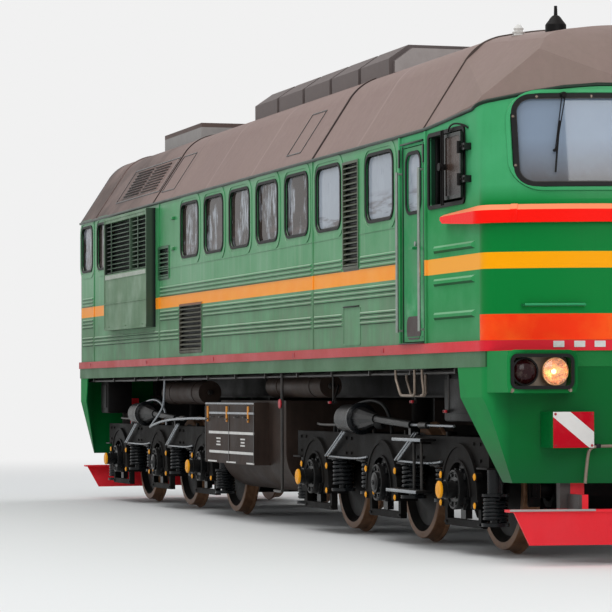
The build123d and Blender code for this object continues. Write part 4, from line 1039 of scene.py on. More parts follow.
# %% Door fittings
DOOR_X, PANE_Z = 5.837, 3.19
for side, name in ((-1, "right"), (1, "left")):
    bm = bmesh.new()
    out = (0, side, 0)
    face_y = side * 1.474
    add_panel(bm, facing((DOOR_X, face_y, PANE_Z), out), 0.42, 0.55, 0.009, corner=0.115, ring=0.03)
    add_panel(bm, facing((DOOR_X, side * 1.454, PANE_Z), out), 0.366, 0.496, 0.003, corner=0.088, index=1)
    add_panel(bm, facing((DOOR_X, face_y, 1.935), out), 0.37, 0.2, 0.005, corner=0.07, index=2)
    add_box(bm, (DOOR_X - 0.23, face_y, 1.85), (DOOR_X + 0.23, side * 1.479, 1.86), index=3)
    add_panel(bm, facing((5.93, face_y, 2.62), out), 0.05, 0.16, 0.006, corner=0.02, index=3)
    add_bar(bm, (5.91, side * 1.47, 2.66), (5.91, side * 1.492, 2.66), 0.02, 16, 4)
    finish_piece(f"cab_door_fittings_{name}", bm, f"cab_door_{name}",
                 [rubber_black, side_glass, kick_brown, door_enamel, rail_steel],
                 mirrored=False)

# %% Door hoods and sills on the body
bm = bmesh.new()
add_box(bm, (5.54, -1.5, 3.53), (6.13, -1.474, 3.545), 0.004)
add_box(bm, (5.545, -1.52, 1.794), (6.125, -1.474, 1.804), 0.003, 1)
for x in (5.558, 6.116):
    add_box(bm, (x - 0.007, -1.482, 1.81), (x + 0.007, -1.474, 3.52), 0.002)
for x0, x1 in ((5.50, 5.53), (6.145, 6.175)):
    add_panel(bm, on_wall((x0 + x1) / 2, -1.4935, 3.42), 0.03, 0.16, 0.01, corner=0.012)
finish_piece("door_hoods", bm, "body", [gutter_green, kick_brown])

# %% [markdown]
# ## Belt straps, reflectors and boards
# The belt round the nose is made of sections joined under straps. Below it, small white reflectors sit on
# the red band, and a red board with a white diagonal marks each step box. On the apron, five short ribs
# close a vent. They are all thin plates on known surfaces, so each lies in the frame of reference of its
# place.

# %% Belt straps
bm = bmesh.new()
BELT_PROUD = 0.06
for y in (-1.26, -0.42):
    place = on_nose(y, 2.79, 0.0)
    add_box(bm, (-0.028, -0.05, BELT_PROUD - 0.004), (0.028, 0.052, BELT_PROUD + 0.006), 0.002, 0, place)
    over_edge = Matrix.Translation((0, 0.0735, 0.034)) @ Matrix.Rotation(math.radians(-49), 4, "X")
    add_box(bm, (-0.028, -0.034, -0.004), (0.028, 0.034, 0.006), 0.0, 0, place @ over_edge)
finish_piece("belt_straps", bm, "body", [belt_orange])

# %% Reflectors, hazard boards and vent ribs
APRON_FOOT, APRON_TOP, APRON_DRAW = 0.648, 1.334, 0.185
bm = bmesh.new()
for y in (-0.948, -0.793, -0.638):
    add_panel(bm, on_nose(y, 1.761, 0.013), 0.088, 0.05, 0.006, corner=0.004)
for x in (-7.1, -4.0, -0.9, 2.2, 5.0):
    add_panel(bm, on_wall(x, -1.488, 1.752), 0.07, 0.04, 0.005, corner=0.004, index=2)
for i in range(5):
    z = 0.71 + i * 0.04
    drawn_in = APRON_DRAW * (APRON_TOP - z) / (APRON_TOP - APRON_FOOT)
    hold = facing((nose_x(0.99, z) - drawn_in, -0.99, z), (0.918, -0.396, -0.26))
    add_box(bm, (-0.055, -0.006, -0.003), (0.055, 0.006, 0.006), 0.002, 3, hold)
add_box(bm, (8.099, -1.092, 0.934), (8.106, -0.745, 1.219), 0.002, 1)
corners = [(sx * 0.155, sy * 0.125) for sx in (-1, 1) for sy in (-1, 1)]
add_bolts(bm, facing((8.106, -0.9185, 1.0765), NOSE_OUT), corners, 0.008, 2)
finish_piece("reflectors_and_boards", bm, "body", [white_paint, hazard_enamel, red_paint, skirt_enamel])

# %% [markdown]
# ## Lamps
# Each lamp box holds two lamps side by side: the outer one has a red lens, the inner one is a sealed
# headlamp. A headlamp is a bowl turned on a lathe and silvered inside, with the filament at its focus and a
# lens over it. A rubber bezel closes the mouth of the box. The inner lamp is alight.

# %% Lamp units
LAMP_Y, LAMP_Z, LAMP_MOUTH_X = -1.1605, 1.54, 8.05
BOWL = [(0.02, -0.07), (0.045, -0.062), (0.075, -0.04), (0.097, -0.012), (0.103, 0.0), (0.111, 0.0),
        (0.111, -0.012), (0.1, -0.03), (0.08, -0.055), (0.04, -0.074), (0.0, -0.076)]
LENS = [(0.0, 0.018), (0.05, 0.014), (0.09, 0.006), (0.103, 0.001), (0.0, 0.001)]
BULB = [(0.0, 0.02), (0.012, 0.014), (0.018, 0.0), (0.014, -0.018), (0.008, -0.03), (0.0, -0.032)]
RED_LENS = [(0.0, 0.03), (0.05, 0.024), (0.085, 0.01), (0.1, -0.006), (0.1, -0.04), (0.0, -0.04)]
LENS_RING = [(0.1, -0.02), (0.113, -0.02), (0.113, 0.004), (0.1, 0.006), (0.1, -0.02)]
bm = bmesh.new()
inner, outer = lying(8.018, -1.0355, LAMP_Z), lying(7.995, -1.2855, LAMP_Z)
add_turned(bm, BOWL, inner, 40, 0)
add_turned(bm, LENS, inner, 40, 1)
add_turned(bm, BULB, inner @ Matrix.Translation((0, 0, -0.035)), 16, 2)
add_turned(bm, RED_LENS, outer, 40, 3)
add_turned(bm, LENS_RING, outer, 40, 4)
add_panel(bm, facing((7.9305, LAMP_Y, LAMP_Z), NOSE_OUT), 0.505, 0.248, 0.006, corner=0.044, index=5)
finish_piece("lamp_units", bm, "body",
             [reflector_silver, lens_glass, bulb_glow, red_glass, rubber_black, tan_rod],
             ["lamps"])

# %% Lamp bezels
bm = bmesh.new()
front = facing((LAMP_MOUTH_X - 0.001, LAMP_Y, LAMP_Z), NOSE_OUT)
add_panel(bm, front, 0.54, 0.283, 0.014, corner=0.06, ring=0.028)
add_panel(bm, front, 0.6, 0.345, 0.004, corner=0.07, ring=0.02, index=2)
add_bolts(bm, front, [(0.236, -0.152), (-0.256, -0.152)], 0.014, 1)
finish_piece("lamp_bezels", bm, "body", [rubber_black, tan_rod, skirt_enamel])

# %% [markdown]
# ## Roof: louvres, hatch ends, aerial and horns
# On the slope over the radiators a panel of slots lets air in. It lies in the slope's plane, so all of it is
# laid out flat and then placed by the slope's frame of reference. The roof fittings are turned on the lathe.


# %% Slope panels
def on_slope(x, share):
    """A frame of reference on the roof slope, some share of the way up from the eaves."""
    y, z = SLOPE_FOOT.lerp(SLOPE_TOP, share)
    return facing((x, y, z), SLOPE_OUT)


SLOPE_FOOT, SLOPE_TOP = Vector((-1.475, 3.624)), Vector((-1.075, 4.24))
SLOPE_OUT = (0, -(SLOPE_TOP - SLOPE_FOOT).y, (SLOPE_TOP - SLOPE_FOOT).x)
SLAT_PITCH = 0.045
bm = bmesh.new()
louvres = on_slope(-4.95, 0.59)
add_panel(bm, louvres, 2.3, 0.5, 0.006, corner=0.01, ring=0.014, index=1)
add_panel(bm, louvres, 1.86, 0.41, 0.003, corner=0.01)
for row in range(9):
    for middle in (-0.46, 0.46):
        y = -0.18 + row * SLAT_PITCH
        add_box(bm, (middle - 0.4, y - 0.011, 0.003), (middle + 0.4, y + 0.009, 0.006), 0.0, 1, louvres)
        add_box(bm, (middle - 0.41, y + 0.004, 0.0), (middle + 0.41, y + 0.012, 0.017), 0.002, 0,
                louvres @ Matrix.Translation((0, 0, 0.002)))
for x, width in ((-3.3, 0.62), (1.9, 0.5)):
    add_panel(bm, on_slope(x, 0.56), width, 0.52, 0.006, corner=0.01, ring=0.012, index=1)
finish_piece("slope_louvres", bm, "body", [roof_paint, spring_black])

# %% Roof fittings
AERIAL = [(0.0, 4.3), (0.088, 4.3), (0.088, 4.44), (0.082, 4.45), (0.062, 4.475), (0.045, 4.5), (0.03, 4.516),
          (0.016, 4.522), (0.013, 4.6), (0.0, 4.6)]
INSULATOR = [(0.0, 4.36), (0.07, 4.36), (0.07, 4.385), (0.045, 4.39), (0.062, 4.41), (0.04, 4.42),
             (0.055, 4.44), (0.034, 4.45), (0.045, 4.47), (0.02, 4.5), (0.0, 4.51)]
HORN = [(0.0, 0.0), (0.018, 0.0), (0.02, 0.1), (0.028, 0.18), (0.042, 0.24), (0.056, 0.26), (0.052, 0.26),
        (0.03, 0.22), (0.0, 0.16)]
HORN_LENGTH = 0.26
bm = bmesh.new()
add_turned(bm, AERIAL, Matrix.Translation((7.025, -0.62, 0)), 32, 0)
add_turned(bm, INSULATOR, Matrix.Translation((6.5, -0.75, 0)), 24, 1)
for y, length in ((0.34, 0.3), (0.44, 0.22)):
    drawn_out = Matrix.Scale(length / HORN_LENGTH, 4, (0, 0, 1))
    add_turned(bm, HORN, lying(7.06 - length, y, 4.53) @ drawn_out, 24, 0)
add_bar(bm, (6.9, 0.39, 4.35), (6.9, 0.39, 4.53), 0.02, 12)
add_box(bm, (6.82, 0.29, 4.485), (6.98, 0.49, 4.5), 0.004)
finish_piece("roof_fittings", bm, "body", [bogie_black, white_paint], ["roof_gear"],
             mirrored=False)

# %% Hatch end and headlight glass
HATCH_END = [(-0.755, 4.46), (-0.755, 4.568), (-0.578, 4.698), (0.578, 4.698), (0.755, 4.568), (0.755, 4.46)]
HEAD_RING = [(0.19, -0.004), (0.19, 0.018), (0.172, 0.022), (0.168, 0.01), (0.168, 0.0), (0.19, -0.004)]
HEAD_LENS = [(0.0, 0.02), (0.1, 0.016), (0.17, 0.006), (0.17, 0.001), (0.0, 0.001)]
bm = bmesh.new()
raised_by(bm, [bm.faces.new([bm.verts.new((3.186, y, z)) for y, z in HATCH_END])], (0.012, 0, 0))
head = lying(7.755, 0, 4.25)
add_turned(bm, HEAD_RING, head, 48, 1)
add_turned(bm, HEAD_LENS, head, 48, 2)
finish_piece("roof_ends_and_headlight", bm, "body", [pale_paint, roof_steel, lens_glass],
             mirrored=False)

# %% [markdown]
# ## Radiator shutters: frames and the perforated strip
# The boxed shutters have a flanged edge, a strip of punched sheet between grille and panel, and a bar that
# works the slats. Real punched holes would be a few pixels wide at most, so pale plates stand for the sheet
# between them, and small repeated shapes are copies of one box.

# %% Shutter details
SHUTTER_FACE = -1.58
PUNCH_PITCH = 0.0602
bm = bmesh.new()
add_panel(bm, on_wall(-4.715, SHUTTER_FACE, 2.8675), 2.27, 1.4, 0.008, corner=0.01, ring=0.03)
add_box(bm, (-5.8, SHUTTER_FACE - 0.005, 2.79), (-3.63, SHUTTER_FACE + 0.002, 2.86), 0.002)
for i in range(36):
    x = -5.77 + i * PUNCH_PITCH
    add_box(bm, (x, SHUTTER_FACE - 0.009, 2.8), (x + 0.02, SHUTTER_FACE - 0.004, 2.848), 0.0, 1)
for x in (-5.45, -4.45, -4.03):
    add_box(bm, (x - 0.012, SHUTTER_FACE - 0.006, 2.87), (x + 0.012, SHUTTER_FACE + 0.004, 3.5), 0.003)
for x in (-5.6, -4.715, -3.83):
    add_box(bm, (x - 0.02, SHUTTER_FACE - 0.009, 2.2), (x + 0.02, SHUTTER_FACE + 0.002, 2.215), 0.003)
finish_piece("shutter_details", bm, "body", [shutter_enamel, white_paint])

# %% [markdown]
# ## Wheels
# A rolled steel wheel is a body of revolution, so the natural way to model it is the lathe: draw half of its
# section once, and spin it about the axle. The section has the coned tread, the flange inside, a rim, a
# dished web, and a hub pressed on the axle. The tread and the rim faces are bright rust, the web is dark.

# %% Wheel and axle sections
BACK, FACE = 0.72, 0.86
WHEEL_SECTION = [
    (0.095, BACK - 0.02), (0.15, BACK - 0.02), (0.165, BACK + 0.02), (0.24, BACK + 0.05),
    (0.42, BACK + 0.035),
    (0.45, BACK), (0.545, BACK), (0.555, BACK + 0.012), (0.548, BACK + 0.026), (0.532, BACK + 0.037),
    (0.526, BACK + 0.055), (0.520, FACE - 0.008), (0.514, FACE), (0.455, FACE), (0.44, FACE - 0.02),
    (0.40, FACE - 0.062), (0.24, FACE - 0.045), (0.165, FACE + 0.005), (0.15, FACE + 0.02),
    (0.095, FACE + 0.025),
]
AXLE_SECTION = [(0.0, 1.113), (0.08, 1.113), (0.082, 0.945), (0.1, 0.935), (0.1, 0.8), (0.084, 0.66),
                (0.08, 0.3)]
AXLE_SECTION += [(r, -h) for r, h in reversed(AXLE_SECTION)]
TREAD_FROM = 0.45
print("flange radius", max(r for r, h in WHEEL_SECTION), "m")

# %% Turned wheels
AXLE_HEIGHT = 0.555
BOGIES = {"front": 4.228, "rear": -4.372}
AXLE_PITCH = 2.1
AXLES = [cx + i * AXLE_PITCH for cx in BOGIES.values() for i in (1, 0, -1)]

for number, axle_x in enumerate(AXLES, 1):
    bm = bmesh.new()
    for turn in (math.pi / 2, -math.pi / 2):
        add_turned(bm, WHEEL_SECTION, Matrix.Rotation(turn, 4, "X"), 72)
    add_turned(bm, AXLE_SECTION, Matrix.Rotation(math.pi / 2, 4, "X"), 48)
    for face in bm.faces:
        middle = face.calc_center_median()
        face.material_index = int(math.hypot(middle.x, middle.z) > TREAD_FROM)
    bmesh.ops.translate(bm, verts=bm.verts, vec=(axle_x, 0, AXLE_HEIGHT))
    finish_piece(f"turned_wheelset_{number}", bm, f"wheelset_{number}", [wheel_steel, tread_steel],
                 [f"wheelset_{number}"], mirrored=False)

# %% [markdown]
# ## Coil springs
# The suspension springs are open to view, so they need real coils. Spinning a circle about the spring's axis
# while it climbs by the pitch makes a helix in one operator call. The ends of each coil rest on round
# seats.

# %% Coil springs
SPRING_RADIUS, WIRE_RADIUS, SPRING_TURNS = 0.108, 0.017, 6
TURN_STEPS, WIRE_SIDES = 24, 8
SPRING_Y, SPRING_OFF = 1.14, 0.592
INNER_SPRING, END_SPRING = (0.456, 0.728), (0.292, 0.512)
SILL_FOOT_Z = 0.75


def add_coil(bm, x, y, low, high, turns):
    """Add one coil spring that stands between two heights."""
    wire_path = SPRING_RADIUS - WIRE_RADIUS
    start = Matrix.Translation((x + wire_path, y, low + WIRE_RADIUS)) @ Matrix.Rotation(math.pi / 2, 4, "X")
    made = bmesh.ops.create_circle(bm, cap_ends=True, segments=WIRE_SIDES, radius=WIRE_RADIUS, matrix=start)
    verts = made["verts"]
    wire = verts + list({e for v in verts for e in v.link_edges}) + verts[0].link_faces[:]
    steps = TURN_STEPS * turns
    climb = high - low - 2 * WIRE_RADIUS
    bmesh.ops.spin(bm, geom=wire, cent=(x, y, 0), axis=(0, 0, 1), angle=math.tau * turns,
                   dvec=(0, 0, climb / steps), steps=steps)


for end, cx in BOGIES.items():
    bm = bmesh.new()
    for row in (-1, 0, 1):
        for s in (-1, 1):
            low, high = END_SPRING if row == s else INNER_SPRING
            x, y = cx + row * AXLE_PITCH + s * SPRING_OFF, -SPRING_Y
            add_coil(bm, x, y, low, high, SPRING_TURNS)
            add_bar(bm, (x, y, low - 0.028), (x, y, low), SPRING_RADIUS + 0.01, 24)
            add_bar(bm, (x, y, high), (x, y, high + 0.022), SPRING_RADIUS + 0.008, 24)
            add_bar(bm, (x, y, high + 0.02), (x, y, SILL_FOOT_Z + 0.002), 0.07, 16)
            add_bar(bm, (x, y, low), (x, y, high), 0.045, 12)
    finish_piece(f"coil_springs_{end}", bm, f"bogie_{end}", [spring_black], [f"springs_{end}"])

# %% [markdown]
# ## Axle box fittings
# The cast boxes come from the CAD. Added here are what a fitter would bolt on: the ring of cover bolts, a
# turned lip, side lugs, cast ribs, a cone where the box bears on its arch, and the yellow cap over the
# axle's end on the outer axles. Turned sections and bolts on circles make most of it, as they do on the real
# box.

# %% Axle box fittings
COVER_Y = -1.29
OUTER_CAP_Y, MIDDLE_CAP_Y = -1.43, -1.32
COVER_LIP = [(0.148, -0.002), (0.148, 0.012), (0.156, 0.017), (0.166, 0.012), (0.167, -0.03)]
YELLOW_CAP = [(0.0, 0.012), (0.03, 0.012), (0.034, 0.009), (0.062, 0.009), (0.074, 0.002), (0.074, -0.012),
              (0.0, -0.012)]
CAP_COLLAR = [(0.071, -0.07), (0.083, -0.07), (0.083, -0.055), (0.071, -0.055)]
MIDDLE_CAP = [(0.0, 0.022), (0.02, 0.022), (0.024, 0.012), (0.06, 0.01), (0.072, 0.004), (0.076, -0.004)]
for end, cx in BOGIES.items():
    bm = bmesh.new()
    for row in (-1, 0, 1):
        x = cx + row * AXLE_PITCH
        cover = on_wall(x, COVER_Y, AXLE_HEIGHT)
        add_turned(bm, COVER_LIP, cover, 40)
        add_bolts(bm, cover, round_spots(8, 0.127, math.pi / 8), 0.0135)
        for s in (-1, 1):
            lug_x, high_x, low_x = x + s * 0.175, x + s * 0.06, x + s * 0.1
            for z in (-0.09, 0.11):
                add_bar(bm, (lug_x, -1.225, AXLE_HEIGHT + z), (lug_x, -1.262, AXLE_HEIGHT + z), 0.028, 16)
            add_box(bm, (high_x - 0.012, -1.262, AXLE_HEIGHT + 0.09),
                    (high_x + 0.012, -1.2, AXLE_HEIGHT + 0.178), 0.004)
            add_box(bm, (low_x - 0.01, -1.25, AXLE_HEIGHT - 0.172), (low_x + 0.01, -1.2, AXLE_HEIGHT - 0.1),
                    0.004)
        add_bar(bm, (x, -1.19, 0.70), (x, -1.19, 0.755), 0.05, 16, 1, 0.022)
        add_bar(bm, (x, -1.19, 0.75), (x, -1.19, 0.785), 0.02, 12, 1)
        if row:
            cap = on_wall(x, OUTER_CAP_Y, AXLE_HEIGHT)
            add_turned(bm, YELLOW_CAP, cap, 32, 2)
            add_turned(bm, CAP_COLLAR, cap, 32)
            add_bolts(bm, on_wall(x, COVER_Y - 0.004, AXLE_HEIGHT), round_spots(4, 0.095, math.pi / 4), 0.01)
        else:
            cap = on_wall(x, MIDDLE_CAP_Y, AXLE_HEIGHT)
            add_turned(bm, MIDDLE_CAP, cap, 32)
            add_bolts(bm, cap, round_spots(6, 0.056), 0.008)
            add_bar(bm, (x - 0.1, -1.27, AXLE_HEIGHT - 0.1), (x - 0.1, -1.3, AXLE_HEIGHT - 0.1), 0.02, 12, 2)
    finish_piece(f"axle_box_fittings_{end}", bm, f"bogie_{end}", [casting, pipe_steel, cap_yellow])

# %% [markdown]
# ## Bogie fittings
# The frame's arches have a rolled lip. Yellow caps cover the pins of the brake hangers. Double links run
# down from the top of the sill, a pipe follows its lower edge, and brake shoes hang beside the wheels.
# Everything here turns with its bogie, so it keeps clear of the body's pipes and steps. A lip could be cut
# from a plate, but it is rolled to its arch in life, so here a small rectangle is spun round the arch's
# centre.


# %% Arch lips
def add_arch(bm, x, z, radius, width, y0, y1):
    """Spin a small rectangle half a turn about an axis along Y to make an arch's lip."""
    corners = [(radius, y0), (radius + width, y0), (radius + width, y1), (radius, y1)]
    face = bm.faces.new([bm.verts.new(Vector((x, 0, z)) + Vector((r, y, 0))) for r, y in corners])
    bmesh.ops.spin(bm, geom=[face], cent=(x, 0, z), axis=(0, -1, 0), angle=math.pi, steps=ARCH_STEPS)


ARCH_STEPS = 24
ARCH_Z, ARCH_RADIUS, ARCH_LIP = 0.48, 0.465, 0.03
MOUTH_Z, MOUTH_RADIUS, MOUTH_LIP = 0.5, 0.285, 0.022
ARCH_FACE_Y, SILL_FACE_Y = -1.247, -1.225
print("wheel arch", 2 * ARCH_RADIUS, "m wide, axle box mouth", 2 * MOUTH_RADIUS, "m")

# %% Bogie fittings
PINS = ((0.67, 0.03), (0.43, 0.027))
# Offset from the shoe's line, Y and Z of two corners, and bevel: the brake block, then its hanger.
SHOES = ((0.0, 0.05, -0.85, 0.42, -0.745, 0.70, 0.01), (0.03, 0.08, -0.83, 0.5, -0.79, 0.98, 0.006))
SILL_PIPE = ((-1.25, 0.762), (-1.252, 0.758), (-1.252, 0.758), (-1.25, 0.78))
for end, cx in BOGIES.items():
    bm = bmesh.new()
    for row in (-1, 0, 1):
        x = cx + row * AXLE_PITCH
        add_arch(bm, x, ARCH_Z, ARCH_RADIUS - ARCH_LIP, ARCH_LIP, ARCH_FACE_Y - 0.008, ARCH_FACE_Y + 0.002)
        add_arch(bm, x, MOUTH_Z, MOUTH_RADIUS, MOUTH_LIP, ARCH_FACE_Y - 0.014, ARCH_FACE_Y + 0.002)
        for s in (-1, 1):
            for z, radius in PINS:
                if z < 0.5 and s < 0 and row == -1:
                    continue
                pin_x = x + s * 0.425
                pin_cap = [(0.0, 0.008), (radius * 0.6, 0.008), (radius, 0.002), (radius, -0.006),
                           (0.0, -0.006)]
                add_bar(bm, (pin_x, -1.2, z), (pin_x, -1.262, z), radius + 0.006, 16, 1)
                add_turned(bm, pin_cap, on_wall(pin_x, -1.264, z), 16, 2)
            add_bolts(bm, on_wall(x + s * 0.4175, -1.2165, 0.27), [(-0.012, 0), (0.012, 0)], 0.011, 1)
            seat_x, shoe_x = x + s * 0.592, x + s * 0.562
            add_box(bm, (seat_x - 0.13, -1.262, 0.735), (seat_x + 0.13, -1.02, 0.752), 0.004, 1)
            for near, far, y0, z0, y1, z1, edge in SHOES:
                x0, x1 = sorted((shoe_x + s * near, shoe_x + s * far))
                add_box(bm, (x0, y0, z0), (x1, y1, z1), edge, 1)
    for dx0, z0, dx1, z1 in ((-1.142, 1.01, -1.702, 0.765), (0.983, 1.02, 0.438, 0.77)):
        for shift in (0.0, 0.075):
            add_bar(bm, (cx + dx0 + shift, -1.262, z0), (cx + dx1 + shift, -1.262, z1), 0.011, 10, 3)
    for run in ((-1.6, -1.3, -0.6, -0.42), (0.5, 0.8, 1.5, 1.66)):
        add_tube(bm, [(cx + dx, y, z) for dx, (y, z) in zip(run, SILL_PIPE)], 0.011, 3)
    corners = [(a, b) for a in (-0.08, 0.08) for b in (-0.07, 0.07)]
    for dx in (-2.55, -1.05, 1.05, 2.5):
        add_bolts(bm, on_wall(cx + dx, SILL_FACE_Y + 0.001, 0.875), corners, 0.014)
    finish_piece(f"bogie_fittings_{end}", bm, f"bogie_{end}",
                 [bogie_brown, bogie_black, cap_yellow, bright_rod])

# %% [markdown]
# ## Brake cylinders
# Each bogie side carries a brake cylinder: a drum with a bolted ring, a rubber boot round its push rod, and
# a hose to its back. The boot's folds are turned from a zigzag section. The front bogie also carries the
# driver's lower steps.

# %% Brake cylinder fittings
CYLINDER_Y, CYLINDER_Z, ROD_Z = -1.27, 1.135, 1.09
CYLINDER_RING = [(0.128, -0.02), (0.15, -0.02), (0.15, 0.02), (0.135, 0.026), (0.1, 0.03)]
FOLDS = [spot for i in range(6) for spot in ((0.032, 0.006 + i * 0.02), (0.046, 0.014 + i * 0.02))]
BOOT = [(0.018, 0.0)] + FOLDS + [(0.02, 0.13)]
HOSE = ((-1.58, -1.2, 1.0), (-1.55, -1.22, 1.15), (-1.2, -1.22, 1.2), (-0.61, -1.2, 1.31),
        (-0.2, -1.17, 1.29), (-0.02, -1.15, 1.15), (0.02, -1.15, 1.0))
FEED = ((-2.11, -1.21, 1.078), (-2.0, -1.25, 1.07), (-1.5, -1.25, 1.067), (-1.12, -1.25, 1.08),
        (-1.04, -1.21, 1.09))
for end, cx in BOGIES.items():
    bm = bmesh.new()
    back = lying(cx - 0.54, CYLINDER_Y, CYLINDER_Z)
    add_turned(bm, CYLINDER_RING, back, 32, 1)
    add_bolts(bm, back @ Matrix.Translation((0, 0, 0.018)), round_spots(8, 0.137), 0.009, 1)
    add_turned(bm, BOOT, lying(cx - 0.1, -1.25, ROD_Z), 24, 2)
    add_bar(bm, (cx + 0.86, -1.25, ROD_Z), (cx + 1.98, -1.245, 1.088), 0.013, 12, 4)
    add_bar(bm, (cx + 1.1, -1.248, 1.089), (cx + 1.3, -1.248, 1.089), 0.03, 16, 3)
    add_tube(bm, [(cx + dx, y, z) for dx, y, z in HOSE], 0.018, 4 if end == "rear" else 2, resolution=10)
    add_tube(bm, [(cx + dx, y, z) for dx, y, z in FEED], 0.013, 3)
    for dx in (-1.4, -0.3, 0.62, 1.75):
        add_box(bm, (cx + dx - 0.02, -1.232, 1.0), (cx + dx + 0.02, -1.2, 1.04), 0.004, 0)
    finish_piece(f"brake_fittings_{end}", bm, f"bogie_{end}",
                 [bogie_brown, spring_black, rubber_black, pipe_steel, bright_rod])

# %% Lower cab steps on the front bogie
TREAD_PLATES = 8
bm = bmesh.new()
for x0, x1, z in ((4.99, 5.76, 0.954), (4.82, 5.64, 0.5)):
    add_box(bm, (x0, -1.4, z), (x1, -1.25, z + 0.02), 0.004)
    # Painted highlight: the thin front strip of each tread is bright steel.
    add_box(bm, (x0, -1.404, z - 0.004), (x1, -1.396, z + 0.024), 0.003, 2)
    for i in range(TREAD_PLATES):
        x = x0 + (x1 - x0) * (i + 0.5) / TREAD_PLATES
        add_box(bm, (x - 0.02, -1.38, z + 0.018), (x + 0.02, -1.29, z + 0.026), 0.003, 1)
for x in (5.31, 5.51):
    add_bar(bm, (x, -1.3, 0.5), (x, -1.3, 0.962), 0.014, 12, 1)
    add_box(bm, (x - 0.02, -1.31, 0.925), (x + 0.02, -1.2, 0.945), 0.003)
finish_piece("lower_cab_steps", bm, "bogie_front", [bogie_brown, pipe_steel, bright_rod])

# %% [markdown]
# ## Battery box and tank
# The long box between the bogies holds the batteries behind lids. Its face has pale lines along the lids,
# short pale dashes, rails, handles and three orange-painted latches. The lines stand a little proud, as trim
# does.


# %% Battery box face
def box_mark(bm, x0, x1, z0, z1, index=0, proud=0.004):
    """A thin painted strip on the face of the battery box."""
    add_box(bm, (x0, BOX_Y - proud, z0), (x1, BOX_Y + 0.003, z1), 0.0, index)


BOX_Y = -1.41
HANDLE_OUT, HANDLE_TOP, HANDLE_LOW = BOX_Y - 0.03, 1.13, 1.12
bm = bmesh.new()
for x0, x1, z in ((-1.364, 0.476, 0.954), (-1.344, 0.455, 0.744)):
    box_mark(bm, x0, x1, z - 0.014, z + 0.014)
for x in (-0.959, 0.032):
    for z, half in ((0.89, 0.085), (0.855, 0.07), (0.822, 0.085)):
        box_mark(bm, x - half, x + half, z - 0.008, z + 0.008)
for x0, x1 in ((-1.403, -1.031), (-0.626, -0.251), (0.181, 0.478)):
    box_mark(bm, x0, x1, 0.632, 0.648)
for x in (-1.4, -0.6, 0.26):
    add_box(bm, (x - 0.018, BOX_Y - 0.014, 1.07), (x + 0.018, BOX_Y + 0.002, 1.24), 0.004, 1)
    add_bar(bm, (x - 0.03, BOX_Y - 0.016, 1.1), (x + 0.03, BOX_Y - 0.016, 1.1), 0.008, 10, 2)
# Painted highlight: a bright steel strip along the lids' lip.
box_mark(bm, -1.326, 0.479, 1.155, 1.177, 3, 0.01)
add_bar(bm, (-1.52, BOX_Y + 0.01, 1.268), (0.47, BOX_Y + 0.01, 1.268), 0.014, 12, 3)
for x in (-1.51, -0.52, 0.468):
    box_mark(bm, x - 0.008, x + 0.008, 0.64, 1.24, 2, 0.006)
for x in (-1.2, -0.83, -0.2, 0.14):
    add_tube(bm, [(x - 0.05, BOX_Y, HANDLE_TOP), (x - 0.05, HANDLE_OUT, HANDLE_LOW),
                  (x + 0.05, HANDLE_OUT, HANDLE_LOW), (x + 0.05, BOX_Y, HANDLE_TOP)], 0.006, 2)
finish_piece("battery_box_marks", bm, "body", [white_paint, strap_orange, pipe_steel, bright_rod])

# %% [markdown]
# ## Pipes, cocks and brackets of the frame
# Air pipes and cable conduits run along the sill, held by clips. Short red cocks let the tanks be drained,
# and sand boxes hang behind the steps. The pipes are drawn as tubes along straight runs with small bends,
# which is how a pipe fitter makes them.

# %% Pipes and cocks
TANK_Y = -1.12
# Y, Z, the two ends and the radius of each run along the sill.
SILL_RUNS = ((-1.4, 1.545, -7.6, 6.7, 0.012), (-1.36, 1.56, -7.6, 6.9, 0.016), (-1.3, 1.55, -7.4, 6.6, 0.02))
DROP_PIPE = [(1.56, -1.42, 1.58), (1.56, -1.42, 0.42), (1.545, -1.42, 0.39), (1.5, -1.42, 0.385),
             (1.2, -1.4, 0.385), (1.1, -1.23, 0.385)]
TANK_FEED = [(-3.6, -1.36, 1.58), (-3.62, -1.36, 1.3), (-3.75, -1.36, 1.18), (-4.3, -1.36, 0.99),
             (-4.34, -1.365, 0.975), (-4.2, -1.37, 1.0), (-3.5, -1.385, 1.068), (-2.4, -1.4, 1.095),
             (-1.9, -1.39, 1.1), (-1.5, -1.36, 1.1)]
HAND_WHEEL = [(0.0, 0.012), (0.045, 0.012), (0.05, 0.006), (0.045, -0.002), (0.0, -0.002)]
TANK_PLUG = [(0.0, 0.05), (0.02, 0.05), (0.022, 0.03), (0.03, 0.028), (0.03, -0.01)]
bm = bmesh.new()
for y, z, x0, x1, radius in SILL_RUNS:
    add_tube(bm, [(x0, y, z), (x1, y, z)], radius, 0, order=2)
for i in range(13):
    x = -7.2 + i * 1.16
    add_box(bm, (x - 0.012, -1.425, 1.53), (x + 0.012, -1.28, 1.585), 0.003)
add_tube(bm, DROP_PIPE, 0.014, 0, order=2)
add_turned(bm, HAND_WHEEL, on_wall(1.56, -1.44, 1.27), 10, 1)
add_tube(bm, [(2.5, -1.12, 1.448), (2.75, -1.2, 1.42), (2.85, -1.28, 1.3), (3.0, -1.3, 1.285)], 0.012, 0)
for x, z in ((2.953, 1.285), (5.394, 1.297), (6.271, 1.216)):
    add_box(bm, (x - 0.035, -1.36, z - 0.012), (x + 0.035, -1.34, z + 0.012), 0.005, 1)
    add_bar(bm, (x - 0.01, -1.36, z), (x - 0.01, -1.3, z), 0.014, 12)
    add_bar(bm, (x - 0.01, -1.31, z), (x - 0.01, -1.31, 1.58), 0.01, 10)
